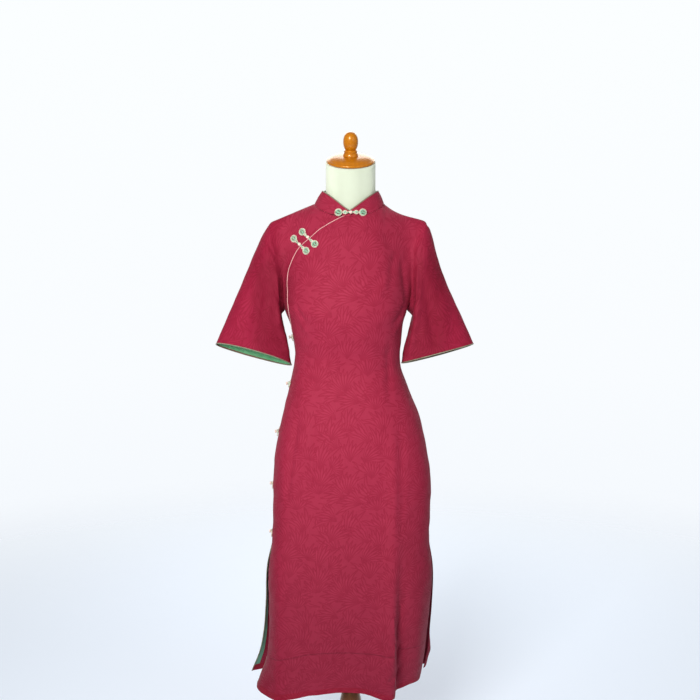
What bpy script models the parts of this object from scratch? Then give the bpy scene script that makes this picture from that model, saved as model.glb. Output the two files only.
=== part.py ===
"""Cheongsam dress on a limbless dress form.

A short-sleeved cheongsam, with a stand collar, a slanting opening at the wearer's
right, frog fastenings and side slits, hangs on a padded form on a turned wooden stand.

Frame: metres, +Z up, origin in the middle of the stand's underside. The wearer
faces -Y, so the wearer's right side is at -X, which is called left here.

Every cloth piece is a wall between an outer grid of points and the same grid moved
inwards. Rows of a panel are named by their level: the height of the row up to the
underarm, and above it the height at which the row leaves the armhole. A place along
a row is a fraction of it, from 0 at the left to 1 at the right.
"""

import math

import bmesh
import bpy
import numpy as np

# ---------------------------------------------------------------- driving sizes

WALL = 0.0015             # thickness of the cloth
SEAM_GAP = 0.0005         # between the edges of two pieces that are sewn together
LAY_GAP = 0.0003          # between a piece and the cloth that it lies on

HEM_Z = 0.250             # level of the hem
SLIT_Z = 0.629            # top of the side slits
OPENING_LOW_Z = 1.132     # where the slanting opening reaches the side seam
UNDERARM_Z = 1.195
SHOULDER_Z = 1.408        # shoulder tip, where the armhole ends
NECK_SIDE_Z = 1.452       # where the shoulder seam meets the collar
SHOULDER_SAG = 0.0080     # how far the right shoulder seam sags below a straight line
YOKE = SHOULDER_Z - UNDERARM_Z

DRESS_X = -0.003          # the dress hangs this far to the left of the form
SHOULDER_HALF = 0.190
NECK_HALF = 0.0845
NECK_FRONT = 0.070        # depth of the neckline in front of the shoulder seam
NECK_BACK = 0.064
NECK_DIP_FRONT = 0.034    # how far the neckline sinks to the centre front
NECK_DIP_BACK = 0.004
ARMHOLE_DEPTH = 0.050     # how far the armhole bows to the front and to the back
BLADE_HEIGHT = 0.016      # how far the shoulder blades push the back out

SHOULDER_PART = 0.27      # share of a yoke row that runs up to each shoulder seam
NECK_ROUNDING = 0.11      # share over which a row below the neck rounds off its corners
INSET = WALL + 0.0007     # how much deeper the chest panel lies below the front panel
INSET_DEEP = 0.025        # it lies that deep up to here from the opening's edge
INSET_FLUSH = 0.055       # and is level with the front panel from here on
HEM_LIFT_Z = 0.500        # the hem's shape fades out up to this height
SEAM_FADE = 0.2           # the folds fade out towards the side seams

PIPING_R = 0.0015
FACING_WALL = 0.0010

SLIT_ROWS = 10            # rows of panels: hem to slit top, up to underarm, yoke
BODY_ROWS = 18
YOKE_ROWS = 9
SHOULDER_COLUMNS = 4
FRONT_NECK_COLUMNS = 14
BACK_NECK_COLUMNS = 7
CHEST_NECK_COLUMNS = 2
SLEEVE_ROWS = 9
DENSE = 241               # points on a row while its length is measured

# Outline of the dress round the body: the side seams, the middle of the front and of
# the back, and how square the section is (2 is an ellipse, more is squarer).
BACK_SQUARE = (2.3, 1.35)  # of the back panel, above the slits and at the hem
BODY_COLUMNS = ("z", "left", "right", "front", "back", "square_left", "square_right")
BODY = (
    (0.250, -0.236, 0.177, -0.097, 0.132, 2.7, 1.8),
    (0.315, -0.213, 0.187, -0.103, 0.131, 2.9, 1.9),
    (0.375, -0.2035, 0.1915, -0.108, 0.130, 3.1, 2.1),
    (0.450, -0.2005, 0.1975, -0.113, 0.129, 3.3, 2.4),
    (0.560, -0.202, 0.202, -0.117, 0.129, 3.5, 2.7),
    (0.629, -0.193, 0.195, -0.119, 0.130, 3.4, 2.7),
    (0.700, -0.190, 0.197, -0.120, 0.131, 3.2, 2.6),
    (0.785, -0.189, 0.1975, -0.122, 0.133, 3.0, 2.6),
    (0.845, -0.185, 0.189, -0.123, 0.133, 2.9, 2.5),
    (0.900, -0.1755, 0.178, -0.121, 0.127, 2.8, 2.4),
    (0.940, -0.167, 0.168, -0.118, 0.118, 2.7, 2.4),
    (0.980, -0.1565, 0.1515, -0.114, 0.105, 2.6, 2.4),
    (1.020, -0.147, 0.136, -0.108, 0.091, 2.4, 2.3),
    (1.055, -0.140, 0.1235, -0.104, 0.082, 2.3, 2.3),
    (1.085, -0.136, 0.1205, -0.107, 0.081, 2.3, 2.3),
    (1.120, -0.139, 0.1235, -0.118, 0.085, 2.3, 2.3),
    (1.160, -0.147, 0.1265, -0.130, 0.092, 2.3, 2.3),
    (1.195, -0.160, 0.137, -0.135, 0.098, 2.3, 2.3),
    (1.230, -0.168, 0.140, -0.131, 0.100, 2.3, 2.3),
)

# Where the armhole seams run, from the underarm (0) to the shoulder tip (1).
ARMHOLE_COLUMNS = ("up", "left", "right")
ARMHOLE = (
    (0.00, -0.160, 0.137),
    (0.20, -0.162, 0.148),
    (0.40, -0.166, 0.150),
    (0.60, -0.178, 0.155),
    (0.80, -0.190, 0.168),
    (1.00, -0.193, 0.187),
)

# The edge of the front panel, from the centre of the neck to the left side seam.
OPENING_COLUMNS = ("z", "x")
OPENING = (
    (1.132, -0.1395), (1.163, -0.1430), (1.205, -0.1470), (1.238, -0.1495),
    (1.266, -0.1500), (1.291, -0.1465), (1.319, -0.1365), (1.342, -0.1220),
    (1.371, -0.0890), (1.386, -0.0720), (1.399, -0.0510), (1.410, -0.0300),
    (1.420, -0.0100),
)

# Soft folds of the skirt, each from its top down to the hem: where it starts, where it
# ends, its half width, and its height (a ridge is positive, a trough negative).
FOLD_COLUMNS = ("side", "x_top", "z_top", "x_hem", "width", "height")
FOLDS = (
    ("front", -0.150, 1.000, -0.175, 0.022, 0.010),
    ("front", -0.093, 0.960, -0.105, 0.018, -0.004),
    ("front", 0.112, 0.980, 0.093, 0.019, 0.014),
    ("front", 0.102, 0.560, 0.084, 0.028, 0.014),
    ("front", 0.122, 0.640, 0.114, 0.012, -0.016),
    ("front", 0.166, 0.600, 0.160, 0.018, 0.008),
    ("front", -0.020, 0.520, -0.030, 0.060, -0.005),
    ("back", -0.120, 0.820, -0.130, 0.024, 0.008),
    ("back", -0.050, 0.700, -0.070, 0.022, -0.008),
    ("back", 0.030, 0.760, 0.025, 0.026, 0.007),
    ("back", 0.110, 0.800, 0.120, 0.024, -0.007),
    ("back", 0.195, 0.400, 0.185, 0.030, 0.020),
)

# How high the hem of the front and of the back hangs above its level.
HEM_LIFT_COLUMNS = ("x", "lift")
HEM_LIFT = {
    "front": (
        (-0.235, 0.004), (-0.170, 0.000), (-0.100, 0.012), (-0.030, 0.021),
        (0.030, 0.017), (0.080, 0.001), (0.100, 0.002), (0.120, 0.009), (0.146, 0.016),
        (0.180, 0.019),
    ),
    "back": ((-0.260, 0.000), (0.060, 0.000), (0.120, 0.005), (0.170, 0.014), (0.210, 0.026)),
}

# The slits gape towards the hem: the back panel's edges from the front panel's.
SLIT_FLARE = {"left": (-0.0225, 0.080), "right": (0.007, 0.022)}
FRONT_EDGE_BACK = {"left": 0.000, "right": 0.030}   # front edges move back by this

# A sleeve, from the armhole (0) to the hem (1): its outer and inner edge seen from
# the front, and its half depth.
SLEEVE_COLUMNS = ("down", "outer_x", "outer_z", "inner_x", "inner_z", "depth")
LEFT_SLEEVE = (
    (0.00, -0.1930, 1.408, -0.160, 1.195, 0.050),
    (0.12, -0.2080, 1.386, -0.170, 1.183, 0.053),
    (0.30, -0.2320, 1.336, -0.1645, 1.158, 0.054),
    (0.50, -0.2590, 1.272, -0.1600, 1.132, 0.052),
    (0.75, -0.2950, 1.190, -0.1520, 1.097, 0.047),
    (1.00, -0.3300, 1.112, -0.1455, 1.062, 0.043),
)
RIGHT_SLEEVE = (
    (0.00, 0.1870, 1.408, 0.137, 1.195, 0.050),
    (0.12, 0.1960, 1.380, 0.1510, 1.181, 0.053),
    (0.30, 0.2100, 1.326, 0.1450, 1.161, 0.054),
    (0.50, 0.2300, 1.268, 0.1385, 1.134, 0.052),
    (0.75, 0.2650, 1.192, 0.1295, 1.100, 0.047),
    (1.00, 0.3010, 1.114, 0.1255, 1.067, 0.043),
)
# How far the front and the back of each sleeve's hem hang from its middle.
SLEEVE_HEM = {"left": (0.015, -0.011), "right": (0.004, -0.016)}

# Stand collar: its top edge at the centre front, at the sides and at the centre back.
COLLAR_FRONT_Z = 1.429
COLLAR_SIDE_Z = 1.4815
COLLAR_BACK_Z = 1.490
COLLAR_LEAN = 0.0135      # how far its top edge leans in, where it is tall
COLLAR_COLUMNS = 26
COLLAR_ROWS = 2
COLLAR_END_GAP = 0.0008   # half the gap between its ends
COLLAR_SEAT = 0.0010      # above the neckline
COLLAR_PIPING_END = 0.0022  # its piping stops this far before the ends

# Frogs: coils as (distance from the button, radius), and where each frog sits.
FROG_STEM = 0.0021
FROG_HEIGHT = 0.0036
FROG_SECTIONS = 11
BUTTON_R = 0.0041
COLLAR_COILS = ((0.0125, 0.0052), (0.0275, 0.0089))
PLAIN_COILS = ((0.0115, 0.0036), (0.0220, 0.0088))
COLLAR_FROG_Z = 1.4265
CHEST_FROGS = (("upper", -0.0990, 1.3667), ("lower", -0.1194, 1.3510))
CHEST_FROG_TURN = math.radians(-44.0)
SIDE_FROGS = (1.129, 1.015, 0.896, 0.766, 0.645)
# How high the halves lie above the outer face: at rest, and the step that they take over
# the piping beside the button, with its reach. Then how high the button's underside is.
COLLAR_LIFTS = ((0.0006, 0.0, 0.010), (0.0038, 0.0, 0.010), 0.0030)
CHEST_LIFTS = {
    "upper": ((-0.0010, 0.0028, 0.010), (-0.0006, 0.0022, 0.009), -0.0001),
    "lower": ((0.0006, 0.0012, 0.010), (0.0003, 0.0012, 0.009), -0.0016),
}
SIDE_LIFTS = ((0.0006, 0.0050, 0.009), (0.0006, 0.0050, 0.009), 0.0045)

# Dress form: half width, front and back of its section, and how square it is.
FORM_COLUMNS = ("z", "half", "front", "back", "square")
FORM = (
    (0.740, 0.146, -0.086, 0.100, 2.2),
    (0.750, 0.154, -0.094, 0.110, 2.2),
    (0.840, 0.164, -0.104, 0.117, 2.2),
    (0.920, 0.152, -0.101, 0.103, 2.2),
    (1.000, 0.122, -0.092, 0.078, 2.1),
    (1.060, 0.102, -0.086, 0.065, 2.1),
    (1.100, 0.100, -0.092, 0.066, 2.1),
    (1.150, 0.109, -0.111, 0.074, 2.1),
    (1.200, 0.118, -0.118, 0.080, 2.1),
    (1.260, 0.132, -0.104, 0.076, 2.1),
    (1.320, 0.147, -0.087, 0.066, 1.9),
    (1.360, 0.159, -0.066, 0.059, 1.8),
    (1.385, 0.171, -0.048, 0.048, 1.6),
    (1.402, 0.178, -0.043, 0.043, 1.4),
)
SHOULDER_DROP = 0.0021    # the form's shoulder line lies this far below the cloth's
SHOULDER_DEPTH = 0.041
SHOULDER_LEVELS = (1.412, 1.422, 1.432, 1.440, 1.4455)
NECK_HALF_WIDTH = 0.0600
NECK_HALF_DEPTH = 0.0545
NECK_LEVELS = (1.452, 1.470, 1.505, 1.5492)
FORM_SIDES = 32
CAP_TILT = math.radians(19.0)   # the neck's top and its cap lean to the front
CAP_R = 0.0585
CAP_CENTRE_Z = 1.5535
POLE_R = 0.0140

DRESS_RED = (0.42, 0.035, 0.075)
FACING_GREEN = (0.075, 0.31, 0.13)
PIPING_OLIVE = (0.42, 0.33, 0.20)
FROG_MINT = (0.42, 0.66, 0.48)
BUTTON_PEARL = (0.86, 0.72, 0.66)
FORM_CREAM = (0.80, 0.84, 0.70)
CAP_ORANGE = (0.60, 0.20, 0.025)
STAND_BROWN = (0.11, 0.030, 0.015)


# ---------------------------------------------------------------- curves

def column(table, names, name):
    """One named column of a table."""
    return np.array([row[names.index(name)] for row in table], float)


def curve_through(knots, values, at):
    """Smooth curve through rising knots, read at the given places."""
    slope = np.gradient(values, knots)
    at = np.clip(at, knots[0], knots[-1])
    left = np.clip(np.searchsorted(knots, at, side="right") - 1, 0, len(knots) - 2)
    step = knots[left + 1] - knots[left]
    t = (at - knots[left]) / step
    start = (2 * t**3 - 3 * t**2 + 1) * values[left] + (t**3 - 2 * t**2 + t) * step * slope[left]
    end = (3 * t**2 - 2 * t**3) * values[left + 1] + (t**3 - t**2) * step * slope[left + 1]
    return start + end


def read(table, names, name, at):
    """A named column of a table, read smoothly at the given places."""
    return curve_through(column(table, names, names[0]), column(table, names, name), at)


def smoothstep(t):
    t = np.clip(t, 0.0, 1.0)
    return t * t * (3.0 - 2.0 * t)


def unit(vectors):
    return vectors / np.linalg.norm(vectors, axis=-1, keepdims=True)


# ---------------------------------------------------------------- body of the dress

def slit_part(z):
    """How far down the slits z is: 0 at their top and above, 1 at the hem."""
    return max(0.0, (SLIT_Z - z) / (SLIT_Z - HEM_Z))


def side_edge(side, hand, z):
    """Where the edge of the front or back panel is at height z: x and y."""
    x = float(read(BODY, BODY_COLUMNS, hand, z))
    open_part = slit_part(z)
    y = FRONT_EDGE_BACK[hand] * open_part**1.5
    if side == "back":
        flare_x, flare_y = SLIT_FLARE[hand]
        x += flare_x * open_part * (2.0 - open_part)
        y += flare_y * open_part**1.1
    return x, y


def fold_height(side, x, z):
    """How far the folds move the cloth out at x and z."""
    height = np.zeros_like(x)
    for fold_side, x_top, z_top, x_hem, width, full in FOLDS:
        if fold_side == side and z < z_top:
            down = (z_top - z) / (z_top - HEM_Z)
            middle = x_top + (x_hem - x_top) * down
            height += full * float(smoothstep(down * 1.3)) * np.exp(-((x - middle) / width)**2)
    return height


def section(side, z):
    """Outline of the front or back panel at height z, left to right, as x and y."""
    left_x, left_y = side_edge(side, "left", z)
    right_x, right_y = side_edge(side, "right", z)
    middle_x = 0.5 * (left_x + right_x)
    middle_y = float(read(BODY, BODY_COLUMNS, side, z))
    turn = np.linspace(0.0, math.pi, DENSE)
    at_left = turn < math.pi / 2
    if side == "front":
        square = np.where(at_left, read(BODY, BODY_COLUMNS, "square_left", z),
                          read(BODY, BODY_COLUMNS, "square_right", z))
    else:
        square = np.full(DENSE, np.interp(slit_part(z), (0.0, 1.0), BACK_SQUARE))
    reach = np.where(at_left, left_x, right_x) - middle_x
    edge_y = np.where(at_left, left_y, right_y)
    x = middle_x + reach * np.abs(np.cos(turn))**(2.0 / square)
    y = edge_y + (middle_y - edge_y) * np.abs(np.sin(turn))**(2.0 / square)
    along = unit(np.stack([np.gradient(x), np.gradient(y)], axis=-1))
    outward = -1.0 if side == "front" else 1.0
    height = fold_height(side, x, z) * smoothstep(np.sin(turn) / SEAM_FADE)
    return x - outward * along[:, 1] * height, y + outward * along[:, 0] * height


def even(x, y, share):
    """Points at the given shares of the length of the curve x, y."""
    length = np.concatenate([[0.0], np.cumsum(np.hypot(np.diff(x), np.diff(y)))])
    at = share * length[-1]
    return np.interp(at, length, x), np.interp(at, length, y), length[-1]


def armhole_bow(up):
    """Share of the armhole's depth at a height between underarm 0 and shoulder 1."""
    return 2.0 * math.sqrt(max(0.0, up * (1.0 - up)))


def top_edge(side, share):
    """Shoulder seams and neckline, left to right."""
    marks = [0.0, SHOULDER_PART, 1.0 - SHOULDER_PART, 1.0]
    from_middle = np.interp(share, marks, [-SHOULDER_HALF, -NECK_HALF, NECK_HALF, SHOULDER_HALF])
    in_neck = np.clip(np.abs(from_middle) / NECK_HALF, 0.0, 1.0)
    bow = np.sqrt(1.0 - in_neck**2)
    depth, dip = (-NECK_FRONT, NECK_DIP_FRONT) if side == "front" else (NECK_BACK, NECK_DIP_BACK)
    on_shoulder = np.clip((np.abs(from_middle) - NECK_HALF) / (SHOULDER_HALF - NECK_HALF), 0.0, 1.0)
    z = NECK_SIDE_Z - dip * bow**1.3 - (NECK_SIDE_Z - SHOULDER_Z) * on_shoulder
    sag = 6.75 * on_shoulder * (1.0 - on_shoulder)**2   # 1 at a third of the way out
    z = z - np.where(from_middle > 0.0, SHOULDER_SAG, 0.0) * sag
    return DRESS_X + from_middle, depth * bow, z


def followed_top(side, share, up):
    """The top edge as a row at this height follows it: rounded off well below it."""
    exact = np.stack(top_edge(side, share))
    reach = NECK_ROUNDING * smoothstep(np.minimum(share, 1.0 - share) / (1.5 * NECK_ROUNDING))
    shifts = np.linspace(-1.0, 1.0, 9)
    soft = sum(np.stack(top_edge(side, share + reach * shift)) for shift in shifts) / len(shifts)
    soft[0] = exact[0]
    return soft + (exact - soft) * up**10


def body_row(side, level, share):
    """Points of one row of the front or back, at shares of its width."""
    share = np.asarray(share, float)
    x, y, _ = even(*section(side, min(level, UNDERARM_Z)), share)
    if level <= UNDERARM_Z:
        z = np.full_like(x, level)
        near_hem = np.clip((HEM_LIFT_Z - level) / (HEM_LIFT_Z - HEM_Z), 0.0, 1.0)**2
        z = z + near_hem * read(HEM_LIFT[side], HEM_LIFT_COLUMNS, "lift", x)
        return np.stack([x, y, z], axis=-1)
    up = (level - UNDERARM_Z) / YOKE
    top_x, top_y, top_z = followed_top(side, share, up)
    spread = up * up * (3.0 - 2.0 * up)
    wide_x = x + (top_x - x) * spread
    for hand, edge in (("left", 0.0), ("right", 1.0)):
        seam_x = float(read(ARMHOLE, ARMHOLE_COLUMNS, hand, up))
        plain_x = (column(ARMHOLE, ARMHOLE_COLUMNS, hand)[[0, -1]] * [1 - spread, spread]).sum()
        wide_x = wide_x + (seam_x - plain_x) * (1.0 - np.abs(share - edge))**6
    fall = 0.5 + 0.3 * np.exp(-((top_x - DRESS_X) / 0.075)**2)
    full = np.clip(1.0 - up**1.6, 0.0, 1.0)**fall
    outward = -1.0 if side == "front" else 1.0
    bow = outward * ARMHOLE_DEPTH * armhole_bow(up) * np.abs(2.0 * share - 1.0)**8
    deep_y = top_y + (y - top_y) * full + bow
    if side == "back":
        deep_y = deep_y + BLADE_HEIGHT * math.sin(math.pi * up) * (1.0 - (2.0 * share - 1.0)**2)
    return np.stack([wide_x, deep_y, UNDERARM_Z + (top_z - UNDERARM_Z) * up], axis=-1)


def row_length(side, level):
    row = body_row(side, level, np.linspace(0.0, 1.0, DENSE))
    return float(np.linalg.norm(np.diff(row, axis=0), axis=1).sum())


def opening_share(level):
    """Where the slanting opening crosses a row of the front."""
    if level <= OPENING_LOW_Z:
        return 0.0
    share = np.linspace(0.0, 1.0, DENSE)
    row = body_row("front", level, share)
    beyond = row[:, 0] - read(OPENING, OPENING_COLUMNS, "x", row[:, 2])
    first = int(np.argmax(beyond > 0.0))
    return float(np.interp(0.0, beyond[first - 1:first + 1], share[first - 1:first + 1]))


def on_body(side, level, share):
    """A point of the body's outer face, and the direction out of it there."""
    step = 0.002
    shares = np.clip([share - step, share + step], 0.0, 1.0)
    across = np.diff(body_row(side, level, shares), axis=0)[0]
    heights = (level - step, min(level + step, SHOULDER_Z))
    low, high = (body_row(side, height, [share])[0] for height in heights)
    outward = 1.0 if side == "front" else -1.0
    return body_row(side, level, [share])[0], unit(outward * np.cross(across, high - low))


def place_on_front(x, z):
    """Level and share at which the front passes through x and z."""
    share = np.linspace(0.0, 1.0, DENSE)
    level = min(z, SHOULDER_Z)
    for _ in range(12):
        row = body_row("front", level, share)
        here = float(np.interp(x, row[:, 0], share))
        level += 0.8 * (z - float(np.interp(here, share, row[:, 2])))
        level = min(level, SHOULDER_Z)
    return level, here


# ---------------------------------------------------------------- cloth walls

def levels():
    """Levels of the rows, from the hem to the shoulder seams."""
    slit = np.linspace(HEM_Z, SLIT_Z, SLIT_ROWS + 1)
    body = np.linspace(SLIT_Z, UNDERARM_Z, BODY_ROWS + 1)[1:]
    turn = np.linspace(math.pi, 0.0, YOKE_ROWS + 1)[1:]
    return np.concatenate([slit, body, UNDERARM_Z + YOKE * (1.0 + np.cos(turn)) / 2.0])


def grid_normals(grid, closed):
    """Direction out of each point of a grid of rows, by its neighbours."""
    if closed:
        across = np.roll(grid, -1, axis=1) - np.roll(grid, 1, axis=1)
    else:
        across = np.gradient(grid, axis=1)
    return unit(np.cross(across, np.gradient(grid, axis=0)))


def around(index, count, closed=False):
    """The neighbours of an index, before and after it."""
    if closed:
        return index - 1, (index + 1) % count
    return max(index - 1, 0), min(index + 1, count - 1)


def boundary(grid, closed):
    """The border points of a grid, with the way along the border and the way in from it."""
    rows, columns = grid.shape[:2]
    for i, inside in ((0, 1), (rows - 1, rows - 2)):
        for j in range(columns):
            before, after = around(j, columns, closed)
            yield (i, j), grid[i, after] - grid[i, before], grid[inside, j] - grid[i, j]
    if closed:
        return
    for j, inside in ((0, 1), (columns - 1, columns - 2)):
        for i in range(rows):
            before, after = around(i, rows)
            yield (i, j), grid[after, j] - grid[before, j], grid[i, inside] - grid[i, j]


def spot_key(point):
    """Points within about 0.01 mm of each other share a key."""
    return tuple(np.floor(point * 1e5 + 0.137).astype(int))


def sew(pieces):
    """Give sewn edges one common direction, and part them by the seam gap.

    Each piece holds a grid of outer points, whether its rows close into rings, and
    which way is out. Border points that two pieces share are a seam.
    """
    users = {}
    for name, piece in pieces.items():
        piece["normals"] = piece["out"] * grid_normals(piece["outer"], piece["closed"])
        for place, _, _ in boundary(piece["outer"], piece["closed"]):
            users.setdefault(spot_key(piece["outer"][place]), {})[name] = place
    for shared in users.values():
        if len(shared) > 1:
            total = unit(sum(pieces[name]["normals"][place] for name, place in shared.items()))
            for name, place in shared.items():
                pieces[name]["normals"][place] = total
    for name, piece in pieces.items():
        moved = piece["outer"].copy()
        for place, tangent, inside in boundary(piece["outer"], piece["closed"]):
            if len(users[spot_key(piece["outer"][place])]) > 1:
                normal = piece["normals"][place]
                tangent = unit(tangent)
                inside = inside - tangent * inside.dot(tangent)
                inside = inside - normal * inside.dot(normal)
                moved[place] += unit(inside) * SEAM_GAP / 2.0
        if name == "collar":
            piece["normals"][..., 2] = 0.0
            piece["normals"] = unit(piece["normals"])
        piece["outer"] = moved
        piece["inner"] = moved - piece["normals"] * WALL


def wall_mesh(name, outer, inner, closed):
    """A closed mesh between an outer and an inner grid of points.

    Both skins are cut along the same diagonals, so that neighbours stay apart.
    """
    rows, columns = outer.shape[:2]
    mesh = bmesh.new()
    skins = [[[mesh.verts.new(point) for point in row] for row in grid] for grid in (outer, inner)]
    last = columns if closed else columns - 1
    for i in range(rows - 1):
        for j in range(last):
            k = (j + 1) % columns
            for skin in skins:
                mesh.faces.new((skin[i][j], skin[i][k], skin[i + 1][k]))
                mesh.faces.new((skin[i][j], skin[i + 1][k], skin[i + 1][j]))
    for i in (0, rows - 1):
        for j in range(last):
            k = (j + 1) % columns
            mesh.faces.new((skins[0][i][j], skins[0][i][k], skins[1][i][k], skins[1][i][j]))
    if not closed:
        for j in (0, columns - 1):
            for i in range(rows - 1):
                mesh.faces.new((skins[0][i][j], skins[0][i + 1][j], skins[1][i + 1][j], skins[1][i][j]))
    bmesh.ops.recalc_face_normals(mesh, faces=mesh.faces)
    data = bpy.data.meshes.new(name)
    mesh.to_mesh(data)
    mesh.free()
    return data


# ---------------------------------------------------------------- panels and sleeves

def two_runs(corner, first, second):
    """Shares from 0 to 1 in two even runs that meet at the corner."""
    return np.concatenate([np.linspace(0.0, corner, first + 1),
                           np.linspace(corner, 1.0, second + 1)[1:]])


def front_shares(level):
    """Shares of the front panel's columns, from the opening to the right seam."""
    top = opening_share(SHOULDER_Z)
    corner = (1.0 - SHOULDER_PART - top) / (1.0 - top)
    start = opening_share(level)
    return start + (1.0 - start) * two_runs(corner, FRONT_NECK_COLUMNS, SHOULDER_COLUMNS)


def front_grid():
    """Front panel: whole below the opening, and from the opening to the right above it."""
    return np.array([body_row("front", level, front_shares(level)) for level in levels()])


def back_grid():
    ends = np.linspace(0.0, SHOULDER_PART, SHOULDER_COLUMNS + 1)
    neck = np.linspace(SHOULDER_PART, 1.0 - SHOULDER_PART, BACK_NECK_COLUMNS + 1)[1:-1]
    shares = np.concatenate([ends, neck, 1.0 - ends[::-1]])
    return np.array([body_row("back", level, shares) for level in levels()])


def chest_inset(distance, width):
    """How deep the chest panel lies, at a distance before the edge of the front panel."""
    deep_until = min(0.5 * width, INSET_DEEP)
    flush_from = max(min(width, INSET_FLUSH), deep_until + 0.001)
    return INSET * (1.0 - smoothstep((distance - deep_until) / (flush_from - deep_until)))


def chest_grid():
    """Chest panel: left of the opening, and one column of the front panel below it."""
    corner = SHOULDER_PART / opening_share(SHOULDER_Z)
    runs = two_runs(corner, SHOULDER_COLUMNS, CHEST_NECK_COLUMNS)
    rows = []
    for level in levels():
        if level < OPENING_LOW_Z - 0.001:
            continue
        length = row_length("front", level)
        edge = max(opening_share(level), 0.006 / length)
        width = edge * length if level > OPENING_LOW_Z + 0.001 else 0.0
        first = 0.0 if width else 0.002 / length
        shares = np.append(first + runs * edge, front_shares(level)[1])
        outer = body_row("front", level, shares)
        for j, share in enumerate(shares):
            deep = chest_inset((edge - share) * length, width) if width else INSET
            if deep > 0.0:
                outer[j] -= on_body("front", level, float(share))[1] * deep
        rows.append(outer)
    return np.array(rows)


def sleeve_point(hand, turn, down):
    """A point of a sleeve: turn is 0 at its top, and pi at the underarm by way of the front."""
    table = LEFT_SLEEVE if hand == "left" else RIGHT_SLEEVE
    outer_x, outer_z, inner_x, inner_z, depth = (
        float(read(table, SLEEVE_COLUMNS, name, down)) for name in SLEEVE_COLUMNS[1:])
    up = (1.0 + math.cos(turn)) / 2.0
    bow = read(ARMHOLE, ARMHOLE_COLUMNS, hand, up)
    seam = column(ARMHOLE, ARMHOLE_COLUMNS, hand)
    bow = float(bow - (seam[0] + (seam[-1] - seam[0]) * up)) * (1.0 - down)**2
    front_hem, back_hem = SLEEVE_HEM[hand]
    hang = (front_hem if math.sin(turn) > 0.0 else -back_hem) * math.sin(turn) * down**2
    x = inner_x + (outer_x - inner_x) * up + bow
    z = inner_z + (outer_z - inner_z) * up + hang
    return (x, -depth * math.sin(turn), z)


def sleeve_grid(hand):
    rising = np.linspace(math.pi, 0.0, YOKE_ROWS + 1)
    turns = np.concatenate([rising, 2.0 * math.pi - rising[1:-1][::-1]])
    return np.array([[sleeve_point(hand, turn, down) for turn in turns]
                     for down in np.linspace(0.0, 1.0, SLEEVE_ROWS + 1)])


def collar_grid():
    """Stand collar, from its right end round the back to its left end."""
    turns = np.linspace(-math.pi / 2, 1.5 * math.pi, COLLAR_COLUMNS + 1)
    rows = []
    for high in np.linspace(0.0, 1.0, COLLAR_ROWS + 1):
        row = []
        for turn in turns:
            ahead = math.sin(turn) < 0.0
            depth, dip = (NECK_FRONT, NECK_DIP_FRONT) if ahead else (NECK_BACK, NECK_DIP_BACK)
            seam = NECK_SIDE_Z + COLLAR_SEAT - dip * abs(math.sin(turn))**1.3
            if ahead:
                top = COLLAR_FRONT_Z + (COLLAR_SIDE_Z - COLLAR_FRONT_Z) * abs(math.cos(turn))
            else:
                top = COLLAR_SIDE_Z + (COLLAR_BACK_Z - COLLAR_SIDE_Z) * math.sin(turn)**1.5
            tall = min(1.0, (top - seam) / (COLLAR_SIDE_Z - NECK_SIDE_Z))
            lean = COLLAR_LEAN * high * tall
            x = (NECK_HALF - lean) * math.cos(turn)
            y = (depth - 0.4 * lean) * math.sin(turn)
            row.append((DRESS_X + x, y, seam + (top - seam) * high))
        rows.append(row)
    grid = np.array(rows)
    grid[:, 0, 0] = COLLAR_END_GAP
    grid[:, -1, 0] = -COLLAR_END_GAP
    return grid


def cloth_pieces():
    """All the sewn pieces, as walls."""
    pieces = {
        "front_panel": {"outer": front_grid(), "closed": False, "out": 1.0},
        "chest_panel": {"outer": chest_grid(), "closed": False, "out": 1.0},
        "back_panel": {"outer": back_grid(), "closed": False, "out": -1.0},
        "left_sleeve": {"outer": sleeve_grid("left"), "closed": True, "out": 1.0},
        "right_sleeve": {"outer": sleeve_grid("right"), "closed": True, "out": -1.0},
        "collar": {"outer": collar_grid(), "closed": False, "out": 1.0},
    }
    sew(pieces)
    return pieces


# ---------------------------------------------------------------- objects

def material(name, colour, roughness):
    made = bpy.data.materials.new(name)
    made.use_nodes = True
    shader = made.node_tree.nodes["Principled BSDF"]
    shader.inputs["Base Color"].default_value = (*colour, 1.0)
    shader.inputs["Roughness"].default_value = roughness
    shader.inputs["Metallic"].default_value = 0.0
    made.diffuse_color = (*colour, 1.0)
    return made


def add_object(data, name, collection, finish, smooth=True):
    made = bpy.data.objects.new(name, data)
    data.materials.append(finish)
    if smooth and isinstance(data, bpy.types.Mesh):
        data.shade_smooth()
        data.set_sharp_from_angle(angle=math.radians(50.0))
    collection.objects.link(made)
    return made


def add_cord(name, points, radius, ring, collection, finish):
    """A round cord through the points."""
    data = bpy.data.curves.new(name, "CURVE")
    data.dimensions = "3D"
    data.bevel_depth = radius
    data.bevel_resolution = 1
    data.use_fill_caps = True
    spline = data.splines.new("POLY")
    spline.points.add(len(points) - 1)
    for spot, point in zip(spline.points, points):
        spot.co = (*point, 1.0)
    spline.use_cyclic_u = ring
    return add_object(data, name, collection, finish)


def add_turned(name, profile, sides, collection, finish):
    """A turned piece: profile rows are (radius, height) from the top down."""
    data = bpy.data.meshes.new(name)
    edges = [(i, i + 1) for i in range(len(profile) - 1)]
    data.from_pydata([(radius, 0.0, height) for radius, height in profile], edges, [])
    made = add_object(data, name, collection, finish, smooth=False)
    screw = made.modifiers.new("turn", "SCREW")
    screw.steps = sides
    screw.render_steps = sides
    screw.use_merge_vertices = True
    screw.merge_threshold = 0.0001
    screw.use_smooth_shade = True
    return made


# ---------------------------------------------------------------- trims

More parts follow.
